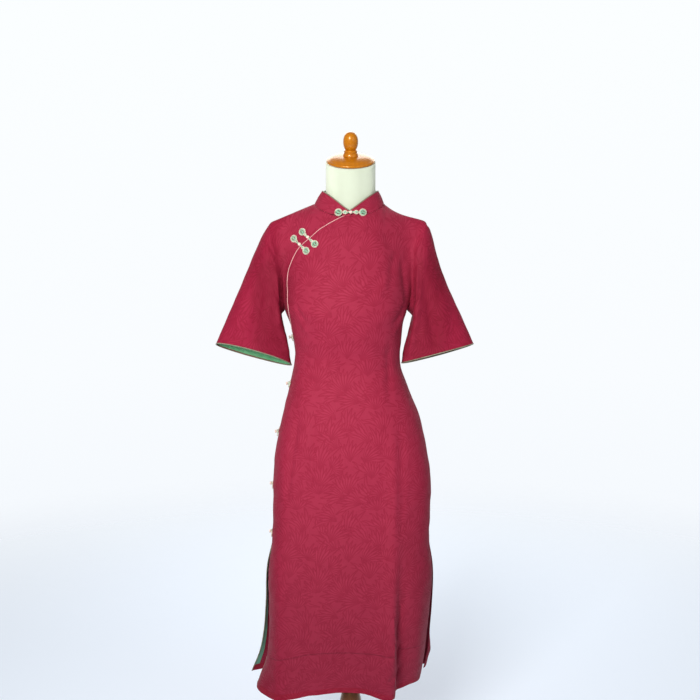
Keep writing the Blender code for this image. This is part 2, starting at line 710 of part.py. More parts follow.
def add_facings(pieces, collection, finish):
    """Green facings inside the sleeve hems and along the left slit of the back."""
    for hand in ("left", "right"):
        sleeve = pieces[f"{hand}_sleeve"]
        low, high = sleeve["inner"][-1], sleeve["inner"][-2]
        inward = -(sleeve["normals"][-1] + sleeve["normals"][-2]) / 2.0
        outer = np.array([low + (high - low) * share + inward * LAY_GAP for share in (0.85, 0.04)])
        mesh = wall_mesh(f"{hand}_cuff_facing", outer, outer + inward * FACING_WALL, True)
        add_object(mesh, f"{hand}_cuff_facing", collection, finish)
    back = pieces["back_panel"]
    edge, inside = back["inner"][:SLIT_ROWS, 0], back["inner"][:SLIT_ROWS, 1]
    inward = -(back["normals"][:SLIT_ROWS, 0] + back["normals"][:SLIT_ROWS, 1]) / 2.0
    outer = np.stack([edge + (inside - edge) * share + inward * 2.0 * LAY_GAP
                      for share in (0.03, 0.75)], axis=1)
    outer[0] += (outer[1] - outer[0]) * 0.45
    mesh = wall_mesh("slit_facing", outer, outer + inward[:, None] * FACING_WALL, False)
    add_object(mesh, "slit_facing", collection, finish)


def edge_path(piece, line, inside, raised=0.0):
    """Where a cord lies along an edge of a wall: line and inside pick the edge's
    points and the next ones in the grid."""
    outer, inner = piece["outer"], piece["inner"]
    along = unit(np.gradient(outer[line], axis=0))
    if piece["closed"]:
        along = unit(np.roll(outer[line], -1, axis=0) - np.roll(outer[line], 1, axis=0))
    normal = piece["normals"][line]
    away = outer[line] - outer[inside]
    away = away - along * (away * along).sum(axis=-1, keepdims=True)
    away = unit(away - normal * (away * normal).sum(axis=-1, keepdims=True))
    return (outer[line] + inner[line]) / 2.0 + away * (PIPING_R + 2.0 * LAY_GAP) + normal * raised


def drawn_in(points, length):
    """The path with its two ends drawn in by a length."""
    points = points.copy()
    points[0] += unit(points[1] - points[0]) * length
    points[-1] += unit(points[-2] - points[-1]) * length
    return points


def add_pipings(pieces, collection, finish):
    """Thin piping on the opening, the collar, the sleeve hems and the left slit."""
    first = SLIT_ROWS + int(np.argmin(np.abs(levels()[SLIT_ROWS:] - OPENING_LOW_Z))) + 1
    opening = np.s_[first:-1, 0], np.s_[first:-1, 1]
    slit = np.s_[:SLIT_ROWS, 0], np.s_[:SLIT_ROWS, 1]
    wide_slit = np.s_[:SLIT_ROWS - 1, 0], np.s_[:SLIT_ROWS - 1, 1]
    rim = np.s_[-1], np.s_[-2]
    for name, piece, edge, raised in (
            ("opening_piping", "front_panel", opening, 0.0007),
            ("collar_piping", "collar", rim, 0.0),
            ("left_cuff_piping", "left_sleeve", rim, 0.0),
            ("right_cuff_piping", "right_sleeve", rim, 0.0),
            ("slit_piping_front", "front_panel", slit, 0.0),
            ("slit_piping_back", "back_panel", wide_slit, 0.0)):
        points = edge_path(pieces[piece], *edge, raised)
        if name == "collar_piping":
            points = drawn_in(points, COLLAR_PIPING_END)
        add_cord(name, points, PIPING_R, pieces[piece]["closed"], collection, finish)


def frog_width(distance, coils):
    """Half width of a frog at a distance from its button."""
    widths = [math.sqrt(max(0.0, radius**2 - (distance - middle)**2)) for middle, radius in coils]
    return max(*widths, FROG_STEM)


def add_frog_half(name, path, coils, collection, finish):
    """Half of a frog: path gives the point, the way along and the way out at a distance."""
    end = coils[-1][0] + coils[-1][1] - 0.0006
    rings = []
    for distance in np.linspace(BUTTON_R + 0.0004, end, FROG_SECTIONS):
        spot, along, out = path(distance)
        wide = np.cross(out, along) * frog_width(distance, coils)
        rings.append([spot - wide, spot - wide * 0.75 + out * FROG_HEIGHT,
                      spot + wide * 0.75 + out * FROG_HEIGHT, spot + wide])
    mesh = bmesh.new()
    rings = [[mesh.verts.new(point) for point in ring] for ring in rings]
    for low, high in zip(rings, rings[1:]):
        for i in range(4):
            mesh.faces.new((low[i], low[(i + 1) % 4], high[(i + 1) % 4], high[i]))
    mesh.faces.new(rings[0])
    mesh.faces.new(rings[-1])
    bmesh.ops.recalc_face_normals(mesh, faces=mesh.faces)
    data = bpy.data.meshes.new(name)
    mesh.to_mesh(data)
    mesh.free()
    add_object(data, name, collection, finish)


def add_button(name, middle, collection, finish):
    bpy.ops.mesh.primitive_uv_sphere_add(segments=10, ring_count=6, radius=BUTTON_R, location=middle)
    button = bpy.context.active_object
    button.name = name
    button.data.name = name
    button.data.materials.append(finish)
    button.data.shade_smooth()
    for old in button.users_collection:
        old.objects.unlink(button)
    collection.objects.link(button)


def frog_path(place, sign, lifts):
    """A path along the surface given by place(distance), on one side of the button."""
    rest, step, reach = lifts

    def path(distance):
        spot, out = place(sign * distance)
        ahead, _ = place(sign * (distance + 0.001))
        along = ahead - spot
        along = unit(along - out * along.dot(out))
        return spot + out * (rest + step * math.exp(-(distance / reach)**2)), along, out
    return path


def add_frog(name, place, coils, lifts, collection, finishes):
    """A frog: two coiled halves and a ball button between them."""
    lifts_a, lifts_b, button_lift = lifts
    for part, sign, lift in (("a", -1.0, lifts_a), ("b", 1.0, lifts_b)):
        add_frog_half(f"{name}_{part}", frog_path(place, sign, lift), coils, collection, finishes[0])
    spot, out = place(0.0)
    add_button(f"{name}_button", spot + out * (BUTTON_R + button_lift), collection, finishes[1])


def collar_place(distance):
    """Across the collar's ends at the centre front."""
    turn = math.asin(np.clip((distance - DRESS_X) / NECK_HALF, -1.0, 1.0))
    spot = np.array([distance, -NECK_FRONT * math.cos(turn), COLLAR_FROG_Z])
    return spot, unit(np.array([math.sin(turn), -math.cos(turn), 0.0]))


def chest_place(x, z):
    """Across the opening, along a slanting line on the front."""
    def place(distance):
        spot_x = x + distance * math.cos(CHEST_FROG_TURN)
        spot_z = z + distance * math.sin(CHEST_FROG_TURN)
        return on_body("front", *place_on_front(spot_x, spot_z))
    return place


def side_place(level):
    """Round the left side seam, from the back (-) to the front (+)."""
    def place(distance):
        side = "front" if distance > 0.0 else "back"
        spot, out = on_body(side, level, abs(distance) / row_length(side, level))
        if distance == 0.0:
            out = np.array([-1.0, 0.0, 0.0])
        return spot, out
    return place


def add_frogs(collection, finishes):
    add_frog("collar_frog", collar_place, COLLAR_COILS, COLLAR_LIFTS, collection, finishes)
    for name, x, z in CHEST_FROGS:
        add_frog(f"chest_frog_{name}", chest_place(x, z), PLAIN_COILS, CHEST_LIFTS[name],
                 collection, finishes)
    for index, level in enumerate(SIDE_FROGS, 1):
        add_frog(f"side_frog_{index}", side_place(level), PLAIN_COILS, SIDE_LIFTS,
                 collection, finishes)


# ---------------------------------------------------------------- dress form and stand

def neck_depth(x):
    return NECK_HALF_DEPTH * math.sqrt(max(0.0, 1.0 - (x / NECK_HALF_WIDTH)**2))


def form_ring(z, half, front, back, square, tilt=0.0, round_neck=False):
    """One ring of the form, round the neck where it rises through the ring.

    The tilt raises the ring's back and lowers its front.
    """
    ring = []
    for step in range(FORM_SIDES):
        turn = 2.0 * math.pi * step / FORM_SIDES
        cos, sin = math.cos(turn), math.sin(turn)
        depth = -front if sin < 0.0 else back
        x = half * math.copysign(abs(cos)**(2.0 / square), cos)
        y = depth * abs(sin)**(2.0 / square)
        if round_neck:
            y = max(y, neck_depth(x))
        y = math.copysign(y, sin)
        ring.append((x, y, z + y * tilt))
    return ring


def form_rings():
    rings = [form_ring(*row) for row in FORM]
    seam_x, _, seam_z = top_edge("front", np.linspace(1.0, 1.0 - SHOULDER_PART, DENSE))
    for level in SHOULDER_LEVELS:
        half = float(np.interp(level + SHOULDER_DROP, seam_z, seam_x))
        rings.append(form_ring(level, half, -SHOULDER_DEPTH, SHOULDER_DEPTH, 1.2, round_neck=True))
    for level in NECK_LEVELS:
        part = (level - NECK_LEVELS[0]) / (NECK_LEVELS[-1] - NECK_LEVELS[0])
        tilt = math.tan(CAP_TILT) * part**2
        rings.append(form_ring(level, NECK_HALF_WIDTH, -NECK_HALF_DEPTH, NECK_HALF_DEPTH, 2.0, tilt))
    return rings


def add_form(collection, finish):
    mesh = bmesh.new()
    rings = [[mesh.verts.new(point) for point in ring] for ring in form_rings()]
    for low, high in zip(rings, rings[1:]):
        for i in range(FORM_SIDES):
            k = (i + 1) % FORM_SIDES
            mesh.faces.new((low[i], low[k], high[k], high[i]))
    mesh.faces.new(rings[0])
    mesh.faces.new(rings[-1])
    bmesh.ops.recalc_face_normals(mesh, faces=mesh.faces)
    data = bpy.data.meshes.new("form_torso")
    mesh.to_mesh(data)
    mesh.free()
    add_object(data, "form_torso", collection, finish)


def arc(middle_r, middle_z, radius, start, end, steps):
    """Points of an arc in a turned profile; angles in degrees from outwards."""
    turns = np.radians(np.linspace(start, end, steps))
    return [(middle_r + radius * math.cos(turn), middle_z + radius * math.sin(turn))
            for turn in turns]


def add_wood(collection, orange, brown):
    """Neck cap and knob, leaning with the neck, and the pole and its turned foot."""
    cap_profile = [(0.0, 0.0115), (0.020, 0.0110), (0.040, 0.0082), (0.052, 0.0048)]
    cap_profile += arc(CAP_R - 0.0035, 0.0, 0.0035, 50, -90, 5) + [(0.0, -0.0035)]
    knob_profile = [(0.0, 0.0680)] + arc(0.0, 0.0500, 0.0180, 80, -40, 8)
    knob_profile += [(0.0125, 0.0345), (0.0150, 0.0310), (0.0178, 0.0280), (0.0182, 0.0240),
                     (0.0170, 0.0200), (0.0180, 0.0160), (0.0186, 0.0118), (0.0, 0.0118)]
    for name, profile in (("neck_cap", cap_profile), ("finial", knob_profile)):
        made = add_turned(name, profile, 24, collection, orange)
        made.location = (0.0, 0.0, CAP_CENTRE_Z)
        made.rotation_euler = (CAP_TILT, 0.0, 0.0)
    foot_profile = [(0.0, 0.240), (0.0170, 0.240), (0.0205, 0.236), (0.0235, 0.225),
                    (0.0268, 0.210), (0.0280, 0.190), (0.0262, 0.160), (0.0225, 0.125),
                    (0.0205, 0.095), (0.0230, 0.080), (0.0300, 0.070), (0.0330, 0.062),
                    (0.0400, 0.046), (0.0700, 0.034), (0.1300, 0.027), (0.1560, 0.0235)]
    foot_profile += [(0.1600, 0.0195), (0.1600, 0.004), (0.1570, 0.0), (0.0, 0.0)]
    add_turned("stand_foot", foot_profile, 32, collection, brown)
    pole_top = FORM[0][0] - LAY_GAP
    pole_foot = 0.240 + LAY_GAP
    bpy.ops.mesh.primitive_cylinder_add(vertices=24, radius=POLE_R, depth=pole_top - pole_foot,
                                        location=(0.0, 0.0, (pole_top + pole_foot) / 2.0))
    pole = bpy.context.active_object
    pole.name = "pole"
    pole.data.name = "pole"
    pole.data.materials.append(brown)
    for old in pole.users_collection:
        old.objects.unlink(pole)
    collection.objects.link(pole)


# ---------------------------------------------------------------- the whole part

def main():
    for old in list(bpy.data.objects):
        bpy.data.objects.remove(old)
    collection = bpy.data.collections.new("cheongsam_on_dress_form")
    bpy.context.scene.collection.children.link(collection)
    red = material("dress_cloth", DRESS_RED, 0.75)
    green = material("facing_cloth", FACING_GREEN, 0.6)
    olive = material("piping", PIPING_OLIVE, 0.6)
    mint = material("frog_cord", FROG_MINT, 0.5)
    pearl = material("button", BUTTON_PEARL, 0.35)
    cream = material("form_cover", FORM_CREAM, 0.8)
    orange = material("varnished_wood", CAP_ORANGE, 0.25)
    brown = material("dark_wood", STAND_BROWN, 0.35)

    pieces = cloth_pieces()
    for name, piece in pieces.items():
        mesh = wall_mesh(name, piece["outer"], piece["inner"], piece["closed"])
        add_object(mesh, name, collection, red)
    add_facings(pieces, collection, green)
    add_pipings(pieces, collection, olive)
    add_frogs(collection, (mint, pearl))
    add_form(collection, cream)
    add_wood(collection, orange, brown)


main()
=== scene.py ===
"""Looks of the cheongsam on its dress form: fine cloth, trims, wood, room and camera.

Metres, +Z up, the dress faces -Y. Left is -X, which is the wearer's right. The cloth
follows the same surfaces as the solids, on a finer grid and with its smaller folds.
"""

import math
from math import pi

import bmesh
import bpy
import numpy as np
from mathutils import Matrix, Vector


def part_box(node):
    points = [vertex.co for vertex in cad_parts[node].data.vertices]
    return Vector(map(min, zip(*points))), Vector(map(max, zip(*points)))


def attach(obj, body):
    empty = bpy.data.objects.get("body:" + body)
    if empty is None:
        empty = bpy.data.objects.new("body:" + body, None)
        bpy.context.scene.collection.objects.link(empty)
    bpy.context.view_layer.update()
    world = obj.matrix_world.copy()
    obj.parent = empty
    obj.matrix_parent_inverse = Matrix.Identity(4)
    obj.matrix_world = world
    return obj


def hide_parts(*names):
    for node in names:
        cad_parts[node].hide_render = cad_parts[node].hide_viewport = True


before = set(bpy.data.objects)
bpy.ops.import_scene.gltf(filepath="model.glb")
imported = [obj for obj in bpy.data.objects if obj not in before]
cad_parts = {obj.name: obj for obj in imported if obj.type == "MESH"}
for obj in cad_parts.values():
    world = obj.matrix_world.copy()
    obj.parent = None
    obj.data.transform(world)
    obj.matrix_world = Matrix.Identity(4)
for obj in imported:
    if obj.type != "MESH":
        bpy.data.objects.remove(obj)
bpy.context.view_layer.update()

# The columns of tables that hold ratios; all others hold lengths in millimetres.
RATIOS = ("up", "down", "square", "square_left", "square_right")


def table(names, *rows):
    """A table's columns by name, in metres, from rows in millimetres and ratios. Where a
    table is read at places, its first column has them."""
    columns = zip(names.split(), np.array(rows, float).T)
    return {name: values if name in RATIOS else values / 1000.0 for name, values in columns}


def profile(*points):
    """A turned profile, from each point's radius and height in millimetres."""
    return [(radius / 1000.0, height / 1000.0) for radius, height in points]


# ---------------------------------------------------------------- the dress's sizes

CLOTH = 0.0011            # thickness of the cloth where its edges show
COLLAR_CLOTH = 0.0015
LAY_GAP = 0.0003          # between a piece and the cloth that it lies on

HEM_Z = 0.250             # level of the hem
SLIT_Z = 0.629            # top of the side slits
OPENING_LOW_Z = 1.132     # where the slanting opening reaches the side seam
UNDERARM_Z = 1.195
SHOULDER_Z = 1.408        # shoulder tip, where the armhole ends
NECK_SIDE_Z = 1.452       # where the shoulder seam meets the collar
SHOULDER_SAG = 0.0080     # how far the right shoulder seam sags below a straight line
YOKE = SHOULDER_Z - UNDERARM_Z

DRESS_X = -0.003          # the dress hangs this far to the left of the form
SHOULDER_HALF = 0.190
NECK_HALF = 0.0845
# Depth of the neckline from the shoulder seam, and how far it sinks to the centre.
NECK_DEPTH = {"front": 0.070, "back": 0.064}
NECK_DIP = {"front": 0.034, "back": 0.004}
ARMHOLE_DEPTH = 0.050     # how far the armhole bows to the front and to the back
BLADE_HEIGHT = 0.016      # how far the shoulder blades push the back out

# How soon the yoke falls in: aside, how much sooner in the middle, and how wide that is.
YOKE_FALL = (0.5, 0.3, 0.075)
SHOULDER_PART = 0.27      # share of a yoke row that runs up to each shoulder seam
NECK_ROUNDING = 0.11      # share over which a row below the neck rounds off its corners
NECK_SAMPLES = 9
NECK_CURVE = 1.3
TOP_FOLLOW = 10           # the higher, the later up the yoke a row takes on those corners
ARMHOLE_FOLLOW = 6        # the higher, the nearer to its edge a row follows the armhole
ARMHOLE_BOW_FOLLOW = 8
INSET = 0.0022            # how much deeper the chest panel lies below the front panel
INSET_DEEP = 0.025        # it lies that deep up to here from the opening's edge
INSET_FLUSH = 0.055       # and is level with the front panel from here on
LEAST_CHEST = 0.003       # its least width in front of the opening's edge
UNDERLAP = (0.006, 0.012, 0.018)   # the chest panel runs on below the front panel
HEM_LIFT_Z = 0.500        # the hem's shape fades out up to this height
SEAM_FADE = 0.2           # the folds fade out towards the side seams
FOLD_RISE = 1.3           # and are full before the hem, the higher this is

HEM_ROWS = (0.0, 0.0012, 0.0034)   # first rows above the hem, and where even ones begin
EVEN_ROWS_START = 0.0070
SLIT_ROWS = 64            # rows of panels: hem to slit top, up to underarm, yoke
BODY_ROWS = 100
YOKE_ROWS = 70
SHOULDER_COLUMNS = 26
FRONT_NECK_COLUMNS = 74
BACK_NECK_COLUMNS = 44
CHEST_NECK_COLUMNS = 8
SLEEVE_ROWS = 90
SLEEVE_HEM_ROWS = (0.985, 0.9955, 1.0)   # the last even row of a sleeve, and closer ones
END_SHARES = (0.0025, 0.0065)   # extra places at a row's ends, and the least of the others
INNER_SHARE = 0.0095
DENSE = 481               # points on a row while its length is measured
EVENLY = np.linspace(0.0, 1.0, DENSE)
SEEK_STEPS = 12           # steps in which a place's row is sought,
SEEK_SHARE = 0.8          # each by this share of what is left

OUTWARD = {"front": -1.0, "back": 1.0}   # which way along y is out of the dress

# Outline of the dress round the body: the side seams, the middle of the front and of
# the back, and how square the section is (2 is an ellipse, more is squarer).
BODY = table(
    "z left right front back square_left square_right",
    (250, -236, 177, -97, 132, 2.7, 1.8), (315, -213, 187, -103, 131, 2.9, 1.9),
    (375, -203.5, 191.5, -108, 130, 3.1, 2.1), (450, -200.5, 197.5, -113, 129, 3.3, 2.4),
    (560, -202, 202, -117, 129, 3.5, 2.7), (629, -193, 195, -119, 130, 3.4, 2.7),
    (700, -190, 197, -120, 131, 3.2, 2.6), (785, -189, 197.5, -122, 133, 3, 2.6),
    (845, -185, 189, -123, 133, 2.9, 2.5), (900, -175.5, 178, -121, 127, 2.8, 2.4),
    (940, -167, 168, -118, 118, 2.7, 2.4), (980, -156.5, 151.5, -114, 105, 2.6, 2.4),
    (1020, -147, 136, -108, 91, 2.4, 2.3), (1055, -140, 123.5, -104, 82, 2.3, 2.3),
    (1085, -136, 120.5, -107, 81, 2.3, 2.3), (1120, -139, 123.5, -118, 85, 2.3, 2.3),
    (1160, -147, 126.5, -130, 92, 2.3, 2.3), (1195, -160, 137, -135, 98, 2.3, 2.3),
    (1230, -168, 140, -131, 100, 2.3, 2.3),
)
BACK_SQUARE = (2.3, 1.35)  # of the back panel, above the slits and at the hem

# Where the armhole seams run, from the underarm (0) to the shoulder tip (1).
ARMHOLE = table(
    "up left right",
    (0, -160, 137), (0.2, -162, 148), (0.4, -166, 150), (0.6, -178, 155), (0.8, -190, 168),
    (1, -193, 187),
)

# The edge of the front panel, from the left side seam to the centre of the neck.
OPENING = table(
    "z x",
    (1132, -139.5), (1163, -143), (1205, -147), (1238, -149.5), (1266, -150), (1291, -146.5),
    (1319, -136.5), (1342, -122), (1371, -89), (1386, -72), (1399, -51), (1410, -30),
    (1420, -10),
)

# Soft folds of the skirt, each from its top down to the hem: x and z at its top, x at
# the hem, its half width, and its height (a ridge is positive, a trough negative), in
# millimetres.
FOLDS = {
    "front": (
        (-150, 1000, -175, 22, 10), (-93, 960, -105, 18, -4), (112, 980, 93, 19, 14),
        (102, 560, 84, 28, 14), (122, 640, 114, 12, -16), (166, 600, 160, 18, 8),
        (-20, 520, -30, 60, -5),
    ),
    "back": (
        (-120, 820, -130, 24, 8), (-50, 700, -70, 22, -8), (30, 760, 25, 26, 7),
        (110, 800, 120, 24, -7), (195, 400, 185, 30, 20),
    ),
}

# How high the hem of the front and of the back hangs above its level.
HEM_LIFT = {
    "front": table(
        "x lift",
        (-235, 4), (-170, 0), (-100, 12), (-30, 21), (30, 17), (80, 1), (100, 2), (120, 9),
        (146, 16), (180, 16),
    ),
    "back": table(
        "x lift",
        (-260, 0), (60, 0), (120, 5), (170, 14), (210, 26),
    ),
}

# The slits gape towards the hem: the back panel's edges from the front panel's.
SLIT_FLARE = {"left": (-0.0225, 0.080), "right": (0.012, 0.022)}
FRONT_EDGE_BACK = {"left": 0.000, "right": 0.030}   # front edges move back by this

# Each sleeve, from the armhole (0) to the hem (1): its outer and inner edge seen from
# the front, and its half depth.
SLEEVE_COLUMNS = "down outer_x outer_z inner_x inner_z depth"
SLEEVES = {
    "left": table(
        SLEEVE_COLUMNS,
        (0, -193, 1408, -160, 1195, 50), (0.12, -208, 1386, -170, 1183, 53),
        (0.3, -232, 1336, -164.5, 1158, 54), (0.5, -259, 1272, -160, 1132, 52),
        (0.75, -295, 1190, -152, 1097, 47), (1, -330, 1112, -145.5, 1062, 43),
    ),
    "right": table(
        SLEEVE_COLUMNS,
        (0, 187, 1408, 137, 1195, 50), (0.12, 196, 1380, 151, 1181, 53),
        (0.3, 210, 1326, 145, 1161, 54), (0.5, 230, 1268, 138.5, 1134, 52),
        (0.75, 265, 1192, 129.5, 1100, 47), (1, 301, 1114, 125.5, 1067, 43),
    ),
}
# How far the front and the back of each sleeve's hem hang from its middle.
SLEEVE_HEM = {"left": (0.015, -0.011), "right": (0.003, -0.010)}
OUT = {"left": 1.0, "right": -1.0}      # which way a sleeve's grid faces

# Stand collar: its top edge at the centre front, at the sides and at the centre back.
COLLAR_FRONT_Z = 1.429
COLLAR_SIDE_Z = 1.4815
COLLAR_BACK_Z = 1.490
COLLAR_LEAN = (0.0175, 0.0135)   # how far its top edge leans in, where it is tall: left, right
COLLAR_COLUMNS = 168
COLLAR_ROWS = 14
COLLAR_END_GAP = 0.0008   # half the gap between its ends
COLLAR_SEAT = -0.0004     # above the neckline

# Creases and soft pulls in the cloth, each a bowed line between two places (x, z, x, z):
# how far its middle bows aside, its half width, and its height (a crease is negative),
# in millimetres.
WRINKLES = {
    "left_sleeve": (
        (-206, 1362, -166, 1285, 0, 5, 4), (-174, 1325, -177, 1130, -1, 5, 6),
        (-178, 1200, -139, 1060, 4, 6, 7), (-163, 1200, -141, 1090, 1, 5, -6),
        (-204, 1290, -240, 1080, 3, 14, -8.5), (-196, 1330, -168, 1280, 0, 3, -2),
        (-250, 1240, -280, 1130, 4, 18, 3.5),
    ),
    "right_sleeve": (
        (150, 1330, 162, 1160, -2, 6, 6), (164, 1230, 140, 1070, -2, 7, 6),
        (152, 1215, 128, 1085, -3, 4, -4.5), (172, 1290, 208, 1075, 0, 13, -8),
        (222, 1250, 232, 1100, 2, 14, 3.5), (178, 1350, 160, 1300, 4, 5, -2),
    ),
    "front": (
        (122, 1335, 140, 1195, 3, 6, -4.5), (-120, 970, -152, 720, 4, 7, -4.6),
        (-84, 990, -96, 740, 0, 8, -3.2), (90, 1140, 96, 950, 2, 5, -3.6),
        (117, 960, 117, 600, -2, 6, -4.6), (100, 940, 100, 640, -2, 8, 2.6),
        (112, 1345, 92, 1240, 6, 7, -3.2), (104, 1290, 60, 1215, 8, 9, 2.6),
        (99, 470, 101, 250, 1, 3.5, -4.5), (116, 470, 118, 250, 0, 3.5, -4.5),
        (118, 660, 116, 380, -2, 5, -3.5), (86, 480, 88, 250, 0, 8, 3),
        (-130, 1215, -95, 1165, 6, 4, -2.6), (-124, 1190, -90, 1135, 6, 4, 2),
        (134, 1225, 98, 1165, -6, 4, -3.4), (126, 1195, 92, 1135, -6, 4, 2.6),
        (-128, 1075, -60, 1050, 4, 6, -1.5), (-126, 1045, -70, 1030, 3, 5, -1.2),
        (108, 1075, 50, 1052, -4, 6, -1.5), (118, 1045, 66, 1028, -3, 5, -1.2),
        (-40, 1400, -60, 1300, 4, 10, 1.2), (70, 1400, 110, 1300, -4, 12, -1.4),
        (0, 840, 6, 420, 10, 40, 3),
    ),
    "back": (
        (-110, 1070, -40, 1056, 4, 6, -1.6), (96, 1066, 30, 1050, -4, 6, -1.6),
        (-100, 1030, -30, 1034, 4, 6, -1.3), (104, 1030, 40, 1020, -3, 6, -1.3),
        (-140, 1240, -60, 1300, 8, 8, -1.8), (120, 1240, 50, 1300, -8, 8, -1.8),
        (0, 900, -10, 450, 10, 30, -3),
    ),
    "left_sleeve_back": (
        (-186, 1330, -176, 1120, 10, 10, 5), (-230, 1250, -250, 1130, 4, 16, -3.5),
    ),
    "right_sleeve_back": (
        (180, 1330, 166, 1120, -10, 10, 5), (206, 1250, 226, 1130, 4, 16, -3.5),
    ),
}
# The cloth is never quite even: slow waves by degrees, length, phase and height.
RIPPLES = (
    (12.0, 0.083, 0.4, 0.00040), (71.0, 0.061, 2.1, 0.00030), (131.0, 0.047, 4.0, 0.00022),
    (96.0, 0.034, 1.2, 0.00014), (158.0, 0.029, 5.1, 0.00012), (38.0, 0.022, 3.3, 0.00008),
)
WRINKLE_ENDS = 0.3        # share of a crease over which each of its ends fades
SEAM_CALM = 0.02          # wrinkles and waves fade out this near to a sewn border
SEAM_SINK = 0.0007        # how deep the cloth dips at a seam
SEAM_REACH = 0.0022
ARMHOLE_SINK = 0.0075     # the front of each armhole lies this deep between the folds
ARMHOLE_REACH = 0.0090
ARMHOLE_SINK_FULL = 0.2   # it grows up to this share of the yoke, and then fades out
ARMHOLE_SINK_FADE = 0.4   # over this share, up to the next
ARMHOLE_SINK_END = 0.8
HALF_TURN = 0.02          # what lies on the front or back of a sleeve fades in over this y
# The right shoulder's tip is rounded: its place, how far round it, and how far it sinks.
TIP_X, TIP_Z = 0.193, 1.407
TIP_REACH = 0.009
TIP_PULL = (-0.004, 0.0, -0.006)

CORD_ENDS = (0.5, 0.88)   # how thick a cord is at its end, and one step before it
FACING_WALL = 0.0008
CUFF_FACING_ROWS = 20
SLIT_FACING_COLUMNS = 6
SLIT_FACING_START = 5     # rows above the hem
PIPING_R = 0.0013
SLIT_PIPING_R = 0.0010
OPENING_PIPING_R = 0.0009
OPENING_PIPING_LIFT = 0.0006

# Frogs: coils as (distance from the button, radius), and where each frog sits.
FROG_CORD = 0.00125       # radius of the cord
BUTTON_R = 0.0041
KNOT_CORD = 0.00085
KNOT_WIDE = 0.0022        # the button's strand winds round this radius, and waves by
KNOT_WAVE = 0.0012
KNOT_LOBES = 5.0
KNOT_POINTS = 180
KNOT_TALL = 1.25          # how much further than aside it waves up and down
KNOT_CORE_R = 0.62 * BUTTON_R
BODY_BEND = 0.120         # the frogs bend over a body of about this radius
COIL_STEP = 1.9           # cord radii from one winding of a coil to the next
LEAST_RING_R = 0.0004
SPIRAL_PITCH = 4.0 * FROG_CORD
RING_POINTS = 49
SPIRAL_POINTS = 73
RUN_POINTS = 24
PATH_POINTS = 15
COIL_CROWN = 0.0006       # how high a coil's middle rises
COIL_LAYERS = (1.25, 1.1)   # how many cord radii up each strand of a coil lies
COLLAR_COILS = ((0.0125, 0.0052), (0.0275, 0.0089))
PLAIN_COILS = ((0.0115, 0.0038), (0.0220, 0.0089))
COLLAR_FROG_Z = 1.4265
CHEST_FROGS = (("upper", -0.0990, 1.3667), ("lower", -0.1194, 1.3510))
CHEST_FROG_TURN = math.radians(-44.0)
SIDE_FROGS = (1.129, 1.015, 0.896, 0.766, 0.645)
# How high each half lies at rest, and the step that it takes over the piping.
FROG_STEP_REACH = 0.009
FROG_AHEAD = 0.001        # the way along a frog is read this far ahead
COLLAR_LIFTS = ((0.0022, 0.0), (0.0022, 0.0))
CHEST_LIFTS = ((-0.0019, 0.0036), (0.0002, 0.0016))
SIDE_LIFTS = ((0.0004, 0.0050), (0.0004, 0.0050))

# ---------------------------------------------------------------- the form's sizes

# Dress form: half width, front and back of its section, and how square it is.
FORM = table(
    "z half front back square",
    (740, 146, -86, 100, 2.2), (750, 154, -94, 110, 2.2), (840, 164, -104, 117, 2.2),
    (920, 152, -101, 103, 2.2), (1000, 122, -92, 78, 2.1), (1060, 102, -86, 65, 2.1),
    (1100, 100, -92, 66, 2.1), (1150, 109, -111, 74, 2.1), (1200, 118, -118, 80, 2.1),
    (1260, 132, -104, 76, 2.1), (1320, 147, -87, 66, 1.9), (1360, 159, -66, 59, 1.8),
    (1385, 171, -48, 48, 1.6), (1402, 178, -43, 43, 1.4),
)
SHOULDER_DROP = 0.0021    # the form's shoulder line lies this far below the cloth's
SHOULDER_DEPTH = 0.041
SHOULDER_LEVELS = (1.412, 1.422, 1.432, 1.440, 1.4455)
SHOULDER_SQUARE = 1.2
NECK_HALF_WIDTH = 0.0600
NECK_HALF_DEPTH = 0.0545
NECK_LEVELS = np.linspace(1.452, 1.5506, 30)
TURNED_SIDES = 96
CAP_TILT = math.radians(23.0)   # the neck's top and its cap lean to the front
CAP_R = 0.0585
CAP_EDGE_R = 0.0035
CAP_CENTRE_Z = 1.5550
KNOB_R = 0.0180
KNOB_Z = 0.0455           # of the knob's widest place, above the cap's middle
KNOB_STRETCH = 1.31       # the knob is taller than a ball, and fuller
KNOB_FULL = 0.72
KNOB_TOP = 0.0692
POLE_R = 0.0140
POLE_EDGE = 0.001
FOOT_TOP_Z = 0.240

# Turned profiles. The cap's top and the knob's neck are above the cap's middle.
CAP_TOP = profile(
    (0, 12), (10, 11.9), (20, 11.7), (30, 11.2), (40, 10), (47.5, 7.8), (52, 5.4), (53.2, 4.2),
    (53.8, 4),
)
KNOB_NECK = profile(
    (12.9, 27), (13.5, 26.4), (14.8, 25.6), (15.8, 24.4), (16, 22.6), (15.5, 20.6),
    (15.6, 19.2), (16.8, 17.6), (17.8, 15), (18, 12.2), (0, 12.2),
)
FOOT = profile(
    (0, 240), (17, 240), (19.2, 238.8), (20.5, 236), (22.1, 231), (23.5, 225), (25.3, 218),
    (26.8, 210), (27.7, 200), (28, 190), (27.4, 175), (26.2, 160), (24.4, 142), (22.5, 125),
    (21.1, 109), (20.5, 95), (21, 86), (23, 80), (26.6, 74.5), (30, 70), (32.2, 66), (33, 62),
    (35.2, 53), (40, 46), (51, 39.8), (70, 34), (100, 30), (130, 27), (156, 23.5), (158.8, 22),
    (160, 19.5), (160, 4), (159.2, 1.6), (157, 0), (0, 0),
)


# ---------------------------------------------------------------- curves

